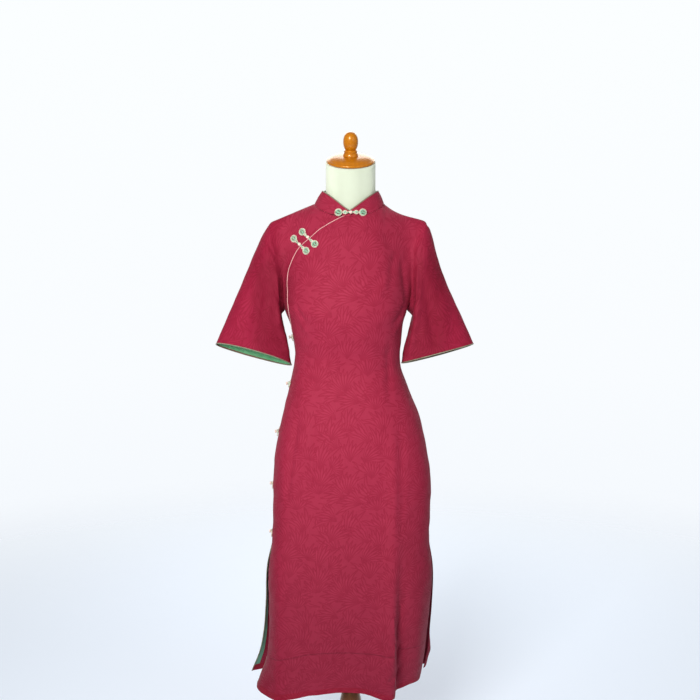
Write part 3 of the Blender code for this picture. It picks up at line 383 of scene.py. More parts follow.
def read(rows, name, at):
    """A table's named column, read smoothly at places in its first column."""
    knots, values = next(iter(rows.values())), rows[name]
    slope = np.gradient(values, knots)
    at = np.clip(at, knots[0], knots[-1])
    left = np.clip(np.searchsorted(knots, at, side="right") - 1, 0, len(knots) - 2)
    step = knots[left + 1] - knots[left]
    t = (at - knots[left]) / step
    start = (2 * t**3 - 3 * t**2 + 1) * values[left] + (t**3 - 2 * t**2 + t) * step * slope[left]
    end = (3 * t**2 - 2 * t**3) * values[left + 1] + (t**3 - t**2) * step * slope[left + 1]
    return start + end


def smoothstep(t):
    t = np.clip(t, 0.0, 1.0)
    return t * t * (3.0 - 2.0 * t)


def unit(vectors):
    return vectors / np.linalg.norm(vectors, axis=-1, keepdims=True)


def across_to(way, vectors):
    """The vectors without their share along the unit vectors way, at unit length."""
    return unit(vectors - way * (vectors * way).sum(axis=-1, keepdims=True))


def steps_along(grid, axis):
    """Distance of each point from the start of its row (1) or column (0)."""
    steps = np.linalg.norm(np.diff(grid, axis=axis), axis=-1)
    return np.concatenate([np.zeros_like(np.take(steps, [0], axis)), np.cumsum(steps, axis)], axis)


# ---------------------------------------------------------------- body of the dress

def slit_part(z):
    """How far down the slits z is: 0 at their top and above, 1 at the hem."""
    return max(0.0, (SLIT_Z - z) / (SLIT_Z - HEM_Z))


def side_edge(side, hand, z):
    """Where the edge of the front or back panel is at height z: x and y."""
    x = float(read(BODY, hand, z))
    open_part = slit_part(z)
    y = FRONT_EDGE_BACK[hand] * open_part**1.5
    if side == "back":
        flare_x, flare_y = SLIT_FLARE[hand]
        x += flare_x * open_part * (2.0 - open_part)
        y += flare_y * open_part**1.1
    return x, y


def fold_height(side, x, z):
    """How far the folds move the cloth out at x and z."""
    height = np.zeros_like(x)
    for x_top, z_top, x_hem, width, full in np.array(FOLDS[side]) / 1000.0:
        if z < z_top:
            down = (z_top - z) / (z_top - HEM_Z)
            middle = x_top + (x_hem - x_top) * down
            grown = full * float(smoothstep(down * FOLD_RISE))
            height += grown * np.exp(-((x - middle) / width)**2)
    return height


def section(side, z):
    """Outline of the front or back panel at height z, left to right, as x and y."""
    left_x, left_y = side_edge(side, "left", z)
    right_x, right_y = side_edge(side, "right", z)
    middle_x = 0.5 * (left_x + right_x)
    middle_y = float(read(BODY, side, z))
    turn = np.linspace(0.0, pi, DENSE)
    at_left = turn < pi / 2
    if side == "front":
        square = np.where(at_left, read(BODY, "square_left", z), read(BODY, "square_right", z))
    else:
        square = np.full(DENSE, np.interp(slit_part(z), (0.0, 1.0), BACK_SQUARE))
    reach = np.where(at_left, left_x, right_x) - middle_x
    edge_y = np.where(at_left, left_y, right_y)
    x = middle_x + reach * np.abs(np.cos(turn))**(2.0 / square)
    y = edge_y + (middle_y - edge_y) * np.abs(np.sin(turn))**(2.0 / square)
    along = unit(np.stack([np.gradient(x), np.gradient(y)], axis=-1))
    height = OUTWARD[side] * fold_height(side, x, z) * smoothstep(np.sin(turn) / SEAM_FADE)
    return x - along[:, 1] * height, y + along[:, 0] * height


def top_edge(side, share):
    """Shoulder seams and neckline, left to right."""
    marks = [0.0, SHOULDER_PART, 1.0 - SHOULDER_PART, 1.0]
    from_middle = np.interp(share, marks, [-SHOULDER_HALF, -NECK_HALF, NECK_HALF, SHOULDER_HALF])
    in_neck = np.clip(np.abs(from_middle) / NECK_HALF, 0.0, 1.0)
    bow = np.sqrt(1.0 - in_neck**2)
    on_shoulder = np.clip((np.abs(from_middle) - NECK_HALF) / (SHOULDER_HALF - NECK_HALF), 0.0, 1.0)
    z = NECK_SIDE_Z - NECK_DIP[side] * bow**NECK_CURVE - (NECK_SIDE_Z - SHOULDER_Z) * on_shoulder
    sag = 6.75 * on_shoulder * (1.0 - on_shoulder)**2   # 1 at a third of the way out
    z = z - np.where(from_middle > 0.0, SHOULDER_SAG, 0.0) * sag
    return DRESS_X + from_middle, OUTWARD[side] * NECK_DEPTH[side] * bow, z


def followed_top(side, share, up):
    """The top edge as a row at this height follows it: rounded off well below it."""
    exact = np.stack(top_edge(side, share))
    reach = NECK_ROUNDING * smoothstep(np.minimum(share, 1.0 - share) / (1.5 * NECK_ROUNDING))
    shifts = np.linspace(-1.0, 1.0, NECK_SAMPLES)
    soft = sum(np.stack(top_edge(side, share + reach * shift)) for shift in shifts) / len(shifts)
    soft[0] = exact[0]
    return soft + (exact - soft) * up**TOP_FOLLOW


def body_row(side, level, share):
    """Points of one row of the front or back, at shares of its width."""
    share = np.asarray(share, float)
    x, y = section(side, min(level, UNDERARM_Z))
    run = np.concatenate([[0.0], np.cumsum(np.hypot(np.diff(x), np.diff(y)))])
    x, y = (np.interp(share * run[-1], run, values) for values in (x, y))
    if level <= UNDERARM_Z:
        near_hem = np.clip((HEM_LIFT_Z - level) / (HEM_LIFT_Z - HEM_Z), 0.0, 1.0)**2
        return np.stack([x, y, level + near_hem * read(HEM_LIFT[side], "lift", x)], axis=-1)
    up = (level - UNDERARM_Z) / YOKE
    top_x, top_y, top_z = followed_top(side, share, up)
    spread = up * up * (3.0 - 2.0 * up)
    wide_x = x + (top_x - x) * spread
    for hand, edge in (("left", 0.0), ("right", 1.0)):
        seam = ARMHOLE[hand]
        plain_x = seam[0] * (1 - spread) + seam[-1] * spread
        near_edge = (1.0 - np.abs(share - edge))**ARMHOLE_FOLLOW
        wide_x = wide_x + (read(ARMHOLE, hand, up) - plain_x) * near_edge
    aside, more, wide = YOKE_FALL
    fall = aside + more * np.exp(-((top_x - DRESS_X) / wide)**2)
    full = np.clip(1.0 - up**1.6, 0.0, 1.0)**fall
    near_edges = np.abs(2.0 * share - 1.0)**ARMHOLE_BOW_FOLLOW
    bow = OUTWARD[side] * ARMHOLE_DEPTH * armhole_bow(up) * near_edges
    deep_y = top_y + (y - top_y) * full + bow
    if side == "back":
        deep_y = deep_y + BLADE_HEIGHT * math.sin(pi * up) * (1.0 - (2.0 * share - 1.0)**2)
    return np.stack([wide_x, deep_y, UNDERARM_Z + (top_z - UNDERARM_Z) * up], axis=-1)


def armhole_bow(up):
    """Share of the armhole's depth at a height between underarm 0 and shoulder 1."""
    return 2.0 * math.sqrt(max(0.0, up * (1.0 - up)))


def row_length(side, level):
    return float(np.linalg.norm(np.diff(body_row(side, level, EVENLY), axis=0), axis=1).sum())


def opening_share(level):
    """Where the slanting opening crosses a row of the front."""
    if level <= OPENING_LOW_Z:
        return 0.0
    row = body_row("front", level, EVENLY)
    beyond = row[:, 0] - read(OPENING, "x", row[:, 2])
    first = int(np.argmax(beyond > 0.0))
    return float(np.interp(0.0, beyond[first - 1:first + 1], EVENLY[first - 1:first + 1]))


def on_body(side, level, share):
    """A point of the body's outer face, and the direction out of it there."""
    step = 0.002
    shares = np.clip([share - step, share + step], 0.0, 1.0)
    across = np.diff(body_row(side, level, shares), axis=0)[0]
    heights = (level - step, min(level + step, SHOULDER_Z))
    low, high = (body_row(side, height, [share])[0] for height in heights)
    return body_row(side, level, [share])[0], unit(-OUTWARD[side] * np.cross(across, high - low))


def place_on_front(x, z):
    """Level and share at which the front passes through x and z."""
    level = min(z, SHOULDER_Z)
    for _ in range(SEEK_STEPS):
        row = body_row("front", level, EVENLY)
        here = float(np.interp(x, row[:, 0], EVENLY))
        level += SEEK_SHARE * (z - float(np.interp(here, EVENLY, row[:, 2])))
        level = min(level, SHOULDER_Z)
    return level, here


# ---------------------------------------------------------------- fine cloth

def levels():
    """Levels of the rows, from the hem to the shoulder seams, closer at the hem."""
    hem = HEM_Z + np.array(HEM_ROWS)
    slit = np.linspace(HEM_Z + EVEN_ROWS_START, SLIT_Z, SLIT_ROWS)
    body = np.linspace(SLIT_Z, UNDERARM_Z, BODY_ROWS + 1)[1:]
    turn = np.linspace(pi, 0.0, YOKE_ROWS + 1)[1:]
    return np.concatenate([hem, slit, body, UNDERARM_Z + YOKE * (1.0 + np.cos(turn)) / 2.0])


def close_ends(shares):
    """The shares, with closer ones at both ends."""
    close = np.array(END_SHARES)
    inner = shares[(shares > INNER_SHARE) & (shares < 1.0 - INNER_SHARE)]
    return np.concatenate([[0.0], close, inner, 1.0 - close[::-1], [1.0]])


def two_runs(corner, first, second):
    """Shares from 0 to 1 in two even runs that meet at the corner, closer at the ends."""
    return close_ends(np.concatenate([np.linspace(0.0, corner, first + 1),
                                      np.linspace(corner, 1.0, second + 1)[1:]]))


def grid_normals(grid, closed):
    """Direction out of each point of a grid of rows, by its neighbours."""
    if closed:
        across = np.roll(grid, -1, axis=1) - np.roll(grid, 1, axis=1)
    else:
        across = np.gradient(grid, axis=1)
    return unit(np.cross(across, np.gradient(grid, axis=0)))


def wrinkle_height(where, x, z):
    height = np.zeros_like(x)
    for x_from, z_from, x_to, z_to, bow, width, full in np.array(WRINKLES[where]) / 1000.0:
        run_x, run_z = x_to - x_from, z_to - z_from
        length = math.hypot(run_x, run_z)
        along = ((x - x_from) * run_x + (z - z_from) * run_z) / length**2
        aside = ((x - x_from) * run_z - (z - z_from) * run_x) / length
        aside = aside - bow * 4.0 * along * (1.0 - along)
        inside = smoothstep(along / WRINKLE_ENDS) * smoothstep((1.0 - along) / WRINKLE_ENDS)
        height += full * inside * np.exp(-(aside / width)**2)
    return height


def ripple_height(u, v):
    return sum(height * np.sin(2.0 * pi * (u * math.cos(math.radians(degrees))
                                           + v * math.sin(math.radians(degrees))) / length + phase)
               for degrees, length, phase, height in RIPPLES)


def seam_distance(grid, seams):
    """Distance of each point from the nearest sewn border."""
    across, down = steps_along(grid, 1), steps_along(grid, 0)
    sides = {"first_column": across, "last_column": across[:, -1:] - across,
             "first_row": down, "last_row": down[-1:] - down}
    return np.minimum.reduce([np.broadcast_to(sides[seam], across.shape) for seam in seams])


def live(grid, uv, out, closed, seams, height):
    """The grid with its wrinkles and ripples, and with its sewn borders sunk in."""
    away = seam_distance(grid, seams)
    height = (height + ripple_height(uv[..., 0], uv[..., 1])) * smoothstep(away / SEAM_CALM)
    height = height - SEAM_SINK * np.exp(-(away / SEAM_REACH)**2)
    lived = grid + out * grid_normals(grid, closed) * height[..., None]
    up = (grid[..., 2] - UNDERARM_Z) / YOKE
    sink = smoothstep(up / ARMHOLE_SINK_FULL)
    sink = sink * smoothstep((ARMHOLE_SINK_END - up) / ARMHOLE_SINK_FADE)
    sink = sink * smoothstep(-grid[..., 1] / HALF_TURN)
    lived[..., 1] += ARMHOLE_SINK * sink * np.exp(-(away / ARMHOLE_REACH)**2)
    tip = np.exp(-((grid[..., 0] - TIP_X)**2 + (grid[..., 2] - TIP_Z)**2) / TIP_REACH**2)
    return lived + tip[..., None] * np.array(TIP_PULL)


# ---------------------------------------------------------------- the cut pieces

def panel(side, rows, shares, out, seams):
    """Grid and flat places of a panel: shares are the places along each of its rows."""
    grid = np.array([body_row(side, level, share) for level, share in zip(rows, shares)])
    widths = np.array([row_length(side, level) for level in rows])
    heights = np.broadcast_to(rows[:, None], shares.shape)
    uv = np.stack([(shares - 0.5) * widths[:, None], heights], axis=-1)
    height = wrinkle_height(side, grid[..., 0], grid[..., 2])
    return live(grid, uv, out, False, seams, height), uv


def front_panel():
    rows = levels()
    top = opening_share(SHOULDER_Z)
    runs = two_runs((1.0 - SHOULDER_PART - top) / (1.0 - top), FRONT_NECK_COLUMNS, SHOULDER_COLUMNS)
    starts = np.array([[opening_share(level)] for level in rows])
    return panel("front", rows, starts + (1.0 - starts) * runs, 1.0, ("last_column", "last_row"))


def back_panel():
    ends = np.linspace(0.0, SHOULDER_PART, SHOULDER_COLUMNS + 1)
    neck = np.linspace(SHOULDER_PART, 1.0 - SHOULDER_PART, BACK_NECK_COLUMNS + 1)[1:-1]
    shares = close_ends(np.concatenate([ends, neck, 1.0 - ends[::-1]]))
    rows = levels()
    return panel("back", rows, np.tile(shares, (len(rows), 1)), -1.0,
                 ("first_column", "last_column", "last_row"))


def chest_inset(distance, width):
    """How deep the chest panel lies, at distances before the edge of the front panel."""
    deep_until = min(0.5 * width, INSET_DEEP)
    flush_from = max(min(width, INSET_FLUSH), deep_until + 0.001)
    return INSET * (1.0 - smoothstep((distance - deep_until) / (flush_from - deep_until)))


def chest_panel():
    """Chest panel: left of the opening, and a strip below the front panel's edge."""
    runs = two_runs(SHOULDER_PART / opening_share(SHOULDER_Z), SHOULDER_COLUMNS, CHEST_NECK_COLUMNS)
    rows = levels()
    rows = rows[rows > OPENING_LOW_Z]
    shares, deep = [], []
    for level in rows:
        length = row_length("front", level)
        edge = max(opening_share(level), LEAST_CHEST / length)
        shares.append(np.concatenate([runs * edge, edge + np.array(UNDERLAP) / length]))
        deep.append(chest_inset((edge - shares[-1]) * length, edge * length))
    grid, uv = panel("front", rows, np.array(shares), 1.0, ("first_column", "last_row"))
    return grid - grid_normals(grid, False) * np.array(deep)[..., None], uv


def sleeve_point(hand, turn, down):
    """A point of a sleeve: turn is 0 at its top, and pi at the underarm by way of the front."""
    outer_x, outer_z, inner_x, inner_z, depth = (
        float(read(SLEEVES[hand], name, down)) for name in SLEEVE_COLUMNS.split()[1:])
    up = (1.0 + math.cos(turn)) / 2.0
    seam = ARMHOLE[hand]
    bow = float(read(ARMHOLE, hand, up) - (seam[0] + (seam[-1] - seam[0]) * up)) * (1.0 - down)**2
    front_hem, back_hem = SLEEVE_HEM[hand]
    hang = (front_hem if math.sin(turn) > 0.0 else -back_hem) * math.sin(turn) * down**2
    x = inner_x + (outer_x - inner_x) * up + bow
    z = inner_z + (outer_z - inner_z) * up + hang
    return (x, -depth * math.sin(turn), z)


def sleeve(hand):
    rising = np.linspace(pi, 0.0, YOKE_ROWS + 1)
    turns = np.concatenate([rising, 2.0 * pi - rising[1:-1][::-1]])
    downs = np.append(np.linspace(0.0, SLEEVE_HEM_ROWS[0], SLEEVE_ROWS - 1), SLEEVE_HEM_ROWS[1:])
    grid = np.array([[sleeve_point(hand, turn, down) for turn in turns] for down in downs])
    rings = steps_along(np.concatenate([grid, grid[:, :1]], axis=1), 1)
    lengths = steps_along(grid, 0).mean(axis=1)
    uv = np.stack([rings - rings[:, -1:] / 2.0, np.repeat(lengths[:, None], rings.shape[1], 1)], -1)
    x, y, z = grid[..., 0], grid[..., 1], grid[..., 2]
    height = wrinkle_height(f"{hand}_sleeve", x, z) * smoothstep(-y / HALF_TURN)
    height = height + wrinkle_height(f"{hand}_sleeve_back", x, z) * smoothstep(y / HALF_TURN)
    return live(grid, uv[:, :-1], OUT[hand], True, ("first_row",), height), uv


def collar():
    """Stand collar, from its right end round the back to its left end."""
    turns = np.linspace(-pi / 2, 1.5 * pi, COLLAR_COLUMNS + 1)
    sine, across = np.sin(turns), np.abs(np.cos(turns))
    ahead = sine < 0.0
    depth, dip = (np.where(ahead, sizes["front"], sizes["back"])
                  for sizes in (NECK_DEPTH, NECK_DIP))
    seam = NECK_SIDE_Z + COLLAR_SEAT - dip * np.abs(sine)**NECK_CURVE
    top = np.where(ahead, COLLAR_FRONT_Z + (COLLAR_SIDE_Z - COLLAR_FRONT_Z) * across,
                   COLLAR_SIDE_Z + (COLLAR_BACK_Z - COLLAR_SIDE_Z) * np.abs(sine)**1.5)
    tall = np.minimum(1.0, (top - seam) / (COLLAR_SIDE_Z - NECK_SIDE_Z))
    high = np.linspace(0.0, 1.0, COLLAR_ROWS + 1)[:, None]
    lean = np.where(np.cos(turns) < 0.0, *COLLAR_LEAN) * high * tall
    x = DRESS_X + (NECK_HALF - lean) * np.cos(turns)
    y = (depth - 0.4 * lean) * sine
    grid = np.stack([x, y, seam + (top - seam) * high], axis=-1)
    grid[:, 0, 0] = COLLAR_END_GAP
    grid[:, -1, 0] = -COLLAR_END_GAP
    uv = np.stack([steps_along(grid, 1), steps_along(grid, 0)], axis=-1)
    return live(grid, uv, 1.0, False, ("first_row",), np.zeros_like(x)), uv


# ---------------------------------------------------------------- meshes

class Stock:
    """Faces gathered for one object, with flat places in metres and a material each."""

    def __init__(self):
        self.points, self.faces, self.flat, self.slots = [], [], [], []
        self.count = 0

    def add(self, points, faces, flat=0.0, slot=0):
        """Quads between the points; flat holds a place for each corner of each quad."""
        faces = np.reshape(faces, (-1, 4))
        self.points.append(np.reshape(points, (-1, 3)))
        self.faces.append(faces + self.count)
        self.flat.append(np.broadcast_to(flat, faces.shape + (2,)))
        self.slots.append(np.full(len(faces), slot))
        self.count += len(self.points[-1])

    def make(self, name, finishes, nodes, slot, sharp=50.0):
        """The object, which stands for the given nodes of the frame."""
        mesh = bpy.data.meshes.new(name)
        points, faces = (np.concatenate(part).tolist() for part in (self.points, self.faces))
        mesh.from_pydata(points, [], faces)
        layer = mesh.uv_layers.new(name="cut")
        layer.uv.foreach_set("vector", np.concatenate(self.flat).astype(np.float32).ravel())
        for finish in finishes:
            mesh.materials.append(finish)
        mesh.polygons.foreach_set("material_index", np.concatenate(self.slots).astype(np.int32))
        shell = bmesh.new()
        shell.from_mesh(mesh)
        bmesh.ops.recalc_face_normals(shell, faces=shell.faces)
        shell.to_mesh(mesh)
        shell.free()
        mesh.shade_smooth()
        mesh.set_sharp_from_angle(angle=math.radians(sharp))
        made = link(name, mesh)
        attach(made, "root")
        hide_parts(*nodes)
        return made


def link(name, data, place=(0.0, 0.0, 0.0)):
    """A new object in the scene for a mesh, lamp or camera."""
    made = bpy.data.objects.new(name, data)
    made.location = place
    bpy.context.scene.collection.objects.link(made)
    return made


def grid_quads(rows, columns, closed):
    """Corner indices of a grid's quads, and the same corners as (row, column)."""
    last = columns if closed else columns - 1
    i, j = np.meshgrid(np.arange(rows - 1), np.arange(last), indexing="ij")
    corners = ((i, j), (i, j + 1), (i + 1, j + 1), (i + 1, j))
    quads = np.stack([a * columns + b % columns for a, b in corners], axis=-1)
    return quads.reshape(-1, 4), corners


def flat_corners(uv, corners):
    return np.stack([uv[a, b] for a, b in corners], axis=-2).reshape(-1, 4, 2)


def wall(stock, outer, uv, out, closed, thick):
    """Adds cloth of a thickness, inwards from the outer grid."""
    rows, columns = outer.shape[:2]
    inner = outer - out * grid_normals(outer, closed) * thick
    under = rows * columns
    quads, corners = grid_quads(rows, columns, closed)
    last = columns if closed else columns - 1
    edges = [((row, j), (row, j + 1)) for row in (0, rows - 1) for j in range(last)]
    if not closed:
        edges += [((i, j), (i + 1, j)) for j in (0, columns - 1) for i in range(rows - 1)]
    rim, rim_flat = [], []
    for (a, b), (c, d) in edges:
        first, second = a * columns + b % columns, c * columns + d % columns
        rim.append((first, second, second + under, first + under))
        rim_flat.append((uv[a, b], uv[c, d], uv[c, d], uv[a, b]))
    stock.add(np.concatenate([outer.reshape(-1, 3), inner.reshape(-1, 3)]),
              np.concatenate([quads, quads + under, rim]),
              np.concatenate([flat_corners(uv, corners)] * 2 + [rim_flat]))
    return inner


def cord(stock, points, ups, radius, closed=False, slot=0, sides=10):
    """Adds a round cord through the points, with soft ends; ups are directions across it."""
    points = np.asarray(points, float)
    if closed:
        along = unit(np.roll(points, -1, axis=0) - np.roll(points, 1, axis=0))
        points, along, ups = (np.concatenate([rows, rows[:1]]) for rows in (points, along, ups))
        size = np.full(len(points), radius)
    else:
        along = unit(np.gradient(points, axis=0))
        size = np.full(len(points), radius)
        for ring_index, share in enumerate(CORD_ENDS):
            size[[ring_index, -1 - ring_index]] *= share
    up = across_to(along, ups)
    turn = 2.0 * pi * np.arange(sides)[:, None] / sides
    ring = np.cross(along, up)[:, None] * np.cos(turn) + up[:, None] * np.sin(turn)
    rings = points[:, None] + ring * size[:, None, None]
    run = steps_along(points, 0)
    around = 2.0 * pi * radius * np.arange(sides + 1) / sides
    uv = np.stack(np.broadcast_arrays(run[:, None], around), axis=-1)
    quads, corners = grid_quads(len(rings), sides, True)
    faces, flat = [quads], [flat_corners(uv, corners)]
    if not closed:
        for ring_index in (0, len(rings) - 1):
            first = ring_index * sides
            cap = [(first, first + i, first + i + 1, first + i + 2) for i in range(1, sides - 2, 2)]
            faces.append(np.array(cap))
            flat.append(np.tile(uv[ring_index, 0], (len(cap), 4, 1)))
    stock.add(rings, np.concatenate(faces), np.concatenate(flat), slot)


# ---------------------------------------------------------------- looks

# Scales are per metre. CLOUDS are scale and detail of soft changes in a surface, ROUGH is
# its roughness (the changes times the first, plus the second), and RELIEF its height.
THREAD = 0.0007
FACING_THREAD = 0.0011
BINDING_THREAD = 0.0016
RED_CLOUDS = (7.0, 3.0)
RED_ROUGH = (-0.10, 0.70)
DRIFT_CLOUDS = (38.0, 2.0)   # the leaves' edges wander with these,
DRIFT = 0.010                # this far
SLUB_SCALE = (90.0, 1400.0)
WARP_SCALE = (1500.0, 60.0)
WEAVE_TONE = 0.05
SLUB_TONE = (0.22, 0.78)
LEAF_HEIGHT = 0.7            # of a leaf, and of the slubs, as shares of the relief
SLUB_HEIGHT = 0.5
LEAF_RELIEF = 0.00012
WEAVE_RELIEF = 0.00005
SATIN_CLOUDS = (60.0, 3.0)
SATIN_ROUGH = (0.2, 0.32)
SATIN_TONE = 0.16
SATIN_RELIEF = 0.00006
CORD_CLOUDS = (140.0, 2.0)
CORD_ROUGH = (0.15, 0.36)
PLY_SLANT = 0.9
PLY_TONE = 0.32
PLY_RELIEF = 0.00025
HAIR_SLANT = 1.6
HAIRS = 6.0                  # to each turn of a ply
HAIR_RELIEF = 0.00004
PEARL_CLOUDS = (260.0, 2.0)
PEARL_ROUGH = (0.2, 0.25)
PEARL_SLANT = 0.8
PEARL_RELIEF = 0.00010
KNIT_CLOUDS = (14.0, 4.0)
KNIT_ROUGH = (0.1, 0.62)
KNIT_TONE = (0.02, 0.98)
KNIT_RELIEF = 0.00007
CREAM_AT = (0.25, 0.75)      # clouds at which the form has its two colours
GRAIN_CLOUDS = (22.0, 3.0)
GRAIN_LENGTH = 0.12          # the grain's bends are drawn out by one over this
GRAIN_BEND = 14.0
GRAIN_RINGS = (520.0, 160.0) # growth rings, by x and by y
PORE_SCALE = (1600.0, 1600.0, 60.0)
PORE_TONE = (0.35, 0.3)
PORE_ROUGH = (0.18, 0.24)
PORE_RELIEF = 0.00005
RING_TONE = 0.05
WOOD_AT = (0.10, 0.85)       # shades at which wood has its two colours
GRIT_CLOUDS = (900.0, 2.0)
GRIT_ROUGH = (0.1, 0.8)
GRIT_RELIEF = 0.0001
CORD_TWIST = 0.0030
KNIT_COURSE = 0.0011
KNIT_WALES = 300.0
HEM_CREASE_Z = 0.345      # the hem's turning is caught down along this line
HEM_CREASE_RISE = (-0.24, -0.06, 0.0, 0.024)   # across from, to, and up from, to
HEM_CREASE_WIDE = 0.0016
# painted shade: how much darker the cloth is painted along the crease
HEM_CREASE_PAINTED_SHADE = -0.22
HEM_CREASE_RELIEF = 0.0006
HEM_STITCH = 0.0090
HEM_STITCH_AT = 0.7       # part of a stitch's wave that is thread, and its depths
HEM_STITCH_DEPTHS = (-0.5, -0.6)
HEM_BAND = 0.016          # the last of the hem is tinted deeper in colour
HEM_BAND_TINT = (1.0, 0.62, 0.74)
# Painted shade: the cloth is painted deeper in colour aside of its middle, and darker low down,
# where less light reaches it: from, to, by how much.
SIDE_PAINTED_SHADE = (0.135, 0.200)
SIDE_PAINTED_SHADE_TINT = (0.90, 0.50, 0.76)
LOW_PAINTED_SHADE = (0.30, 0.94, 0.75, 1.0)
# Painted shade: the sleeves are darker again between these places, aside and up, towards the
# underarm.
SLEEVE_PAINTED_SHADE_ASIDE = ((0.122, 0.160), (0.250, 0.215))
SLEEVE_PAINTED_SHADE_UP = ((1.00, 1.06), (1.37, 1.29))
SLEEVE_PAINTED_SHADE_TINT = (0.75, 0.62, 0.69)
NECK_SIDE_PAINTED_LIGHT = (0.020, 0.062, 1.0, 1.45)   # painted light: the cover is paler aside of the neck's front middle, against the shade on the neck's sides

# The woven leaves. Four kinds of spray are placed by turns in one repeat of the cloth, each
# where it fills most bare cloth, and later ones lie over earlier ones.
REPEAT_WIDE = 0.190
REPEAT_HIGH = 0.240
# Length, spread and leaves of each kind of spray.
SPRAYS = ((0.062, 1.7, 8), (0.078, 0.9, 5), (0.046, 2.6, 10), (0.062, 1.5, 7))
SPRAY_SEED = 5
SPRAY_COUNT = 24
SPRAY_TRIES = 160
SPRAY_LEAN = 34.0         # usual turn of a spray away from upright, in degrees
SPRAY_DROOPS = (-0.5, -0.3, 0.3, 0.5)
SPRAY_CELLS = (38, 48)    # cells of the repeat in which bare cloth is counted
LEAF_WIDE = 0.062         # half width of a leaf as a share of its length
LEAF_CROWD = 0.46         # and at most this share of its room
LEAF_BELLY = 0.8          # it is widest nearer to its foot, the smaller this is
LEAF_LINE = 0.0019        # width of the darker line round it
LEAF_EDGE = -0.8          # how far out that line goes, in its own widths
LEAF_LENGTHS = (2.4, 0.14, 0.86)   # leaves differ by the sine of their number times the first,
LEAF_PALES = (4.1, 0.10, 0.66)     # times the second, plus the third
LEAF_TONE = 0.57
GROUND_TONE = 0.50        # of the cloth between the leaves

# Display colours, 0 to 255: where there are two, the dark one and the pale one.
RED_DEEP, RED_GROUND, RED_LEAF = (137, 25, 50), (149, 32, 59), (177, 53, 81)
FACING = ((84, 166, 112), (124, 206, 146))
# painted shade: the slit's facing in a darker copy of the facing's colours
SLIT_FACING_PAINTED_SHADE = ((66, 120, 96), (96, 150, 122))
# painted highlight: the opening's binding in the pale pink of the sheen along the olive binding
OPENING_BINDING_PAINTED_HIGHLIGHT = ((206, 138, 136), (240, 186, 184))
OLIVE_BINDING = ((84, 80, 62), (162, 156, 130))
CREAM_CORD = ((168, 136, 108), (250, 242, 226))
MINT_CORD = ((84, 156, 116), (186, 236, 204))
PEARL = ((236, 196, 178), (248, 236, 228))
CREAM = ((197, 205, 183), (204, 213, 192))
ORANGE_WOOD = ((158, 82, 0), (204, 132, 8))
BROWN_WOOD = ((58, 26, 20), (112, 58, 42))
FLOOR_COLOUR = (236, 244, 255)
ROOM_COLOURS = ((-0.50, (238, 244, 252)), (-0.10, (249, 252, 255)), (0.25, (251, 254, 255)))
ROOM_LIGHT = (0.55, 0.88, 0.32, 1.0)   # the room is dimmer towards the sides and the front

FLOOR_R = 14.0
FLOOR_FADE = (1.0, 3.6)
# Lights: name, place, aim, size, power, spread and colour.
LIGHTS = (
    ("key", (-0.8, -2.5, 1.9), (0.0, 0.0, 1.12), 1.0, 42.0, 130.0, (1.0, 0.98, 0.96)),
    ("fill", (1.9, -2.0, 1.6), (0.0, 0.0, 1.1), 1.6, 10.0, 180.0, (0.95, 0.98, 1.0)),
    ("floor", (0.2, 2.3, 2.6), (0.2, 2.3, 0.0), 2.6, 53.0, 180.0, (1.0, 1.0, 1.0)),
)
# The photograph: its side and the camera's focal length in pixels, and the camera.
PHOTO_SIDE = 700.0
CAMERA_FOCUS = 900.0
CAMERA_PLACE = (-0.0015, -2.2, 1.27)
CAMERA_PITCH = 4.5


def linear(red, green, blue):
    """A display colour of 0 to 255 as linear light."""
    shares = (value / 255.0 for value in (red, green, blue))
    return (*(share / 12.92 if share <= 0.04045 else ((share + 0.055) / 1.055)**2.4
              for share in shares), 1.0)


class Value:
    """A number in a node tree: arithmetic with it adds math nodes to the tree."""

    def __init__(self, tree, socket):
        self.tree, self.socket = tree, socket

    def math(self, operation, *others):
        made = self.tree.node("ShaderNodeMath", {"operation": operation})
        for value, socket in zip((self, *others), made.inputs):
            self.tree.feed(value, socket)
        return Value(self.tree, made.outputs[0])

    def __add__(self, other):
        return self.math("ADD", other)

    def __sub__(self, other):
        return self.math("SUBTRACT", other)

    def __mul__(self, other):
        return self.math("MULTIPLY", other)

    def __truediv__(self, other):
        return self.math("DIVIDE", other)

    def __abs__(self):
        return self.math("ABSOLUTE")

    def scaled(self, factor, offset):
        """The value times the factor, plus the offset."""
        return self.math("MULTIPLY_ADD", factor, offset)

    def sine(self, length=2.0 * pi):
        """The sine of the value, as a wave of this length."""
        return (self if length == 2.0 * pi else self * (2.0 * pi / length)).math("SINE")

    def rise(self, start, end, low=0.0, high=1.0):
        """From low to high, smoothly, while the value goes from start to end."""
        return Value(self.tree, self.tree.node(
            "ShaderNodeMapRange", {"interpolation_type": "SMOOTHSTEP"}, Value=self, From_Min=start,
            From_Max=end, To_Min=low, To_Max=high).outputs[0])


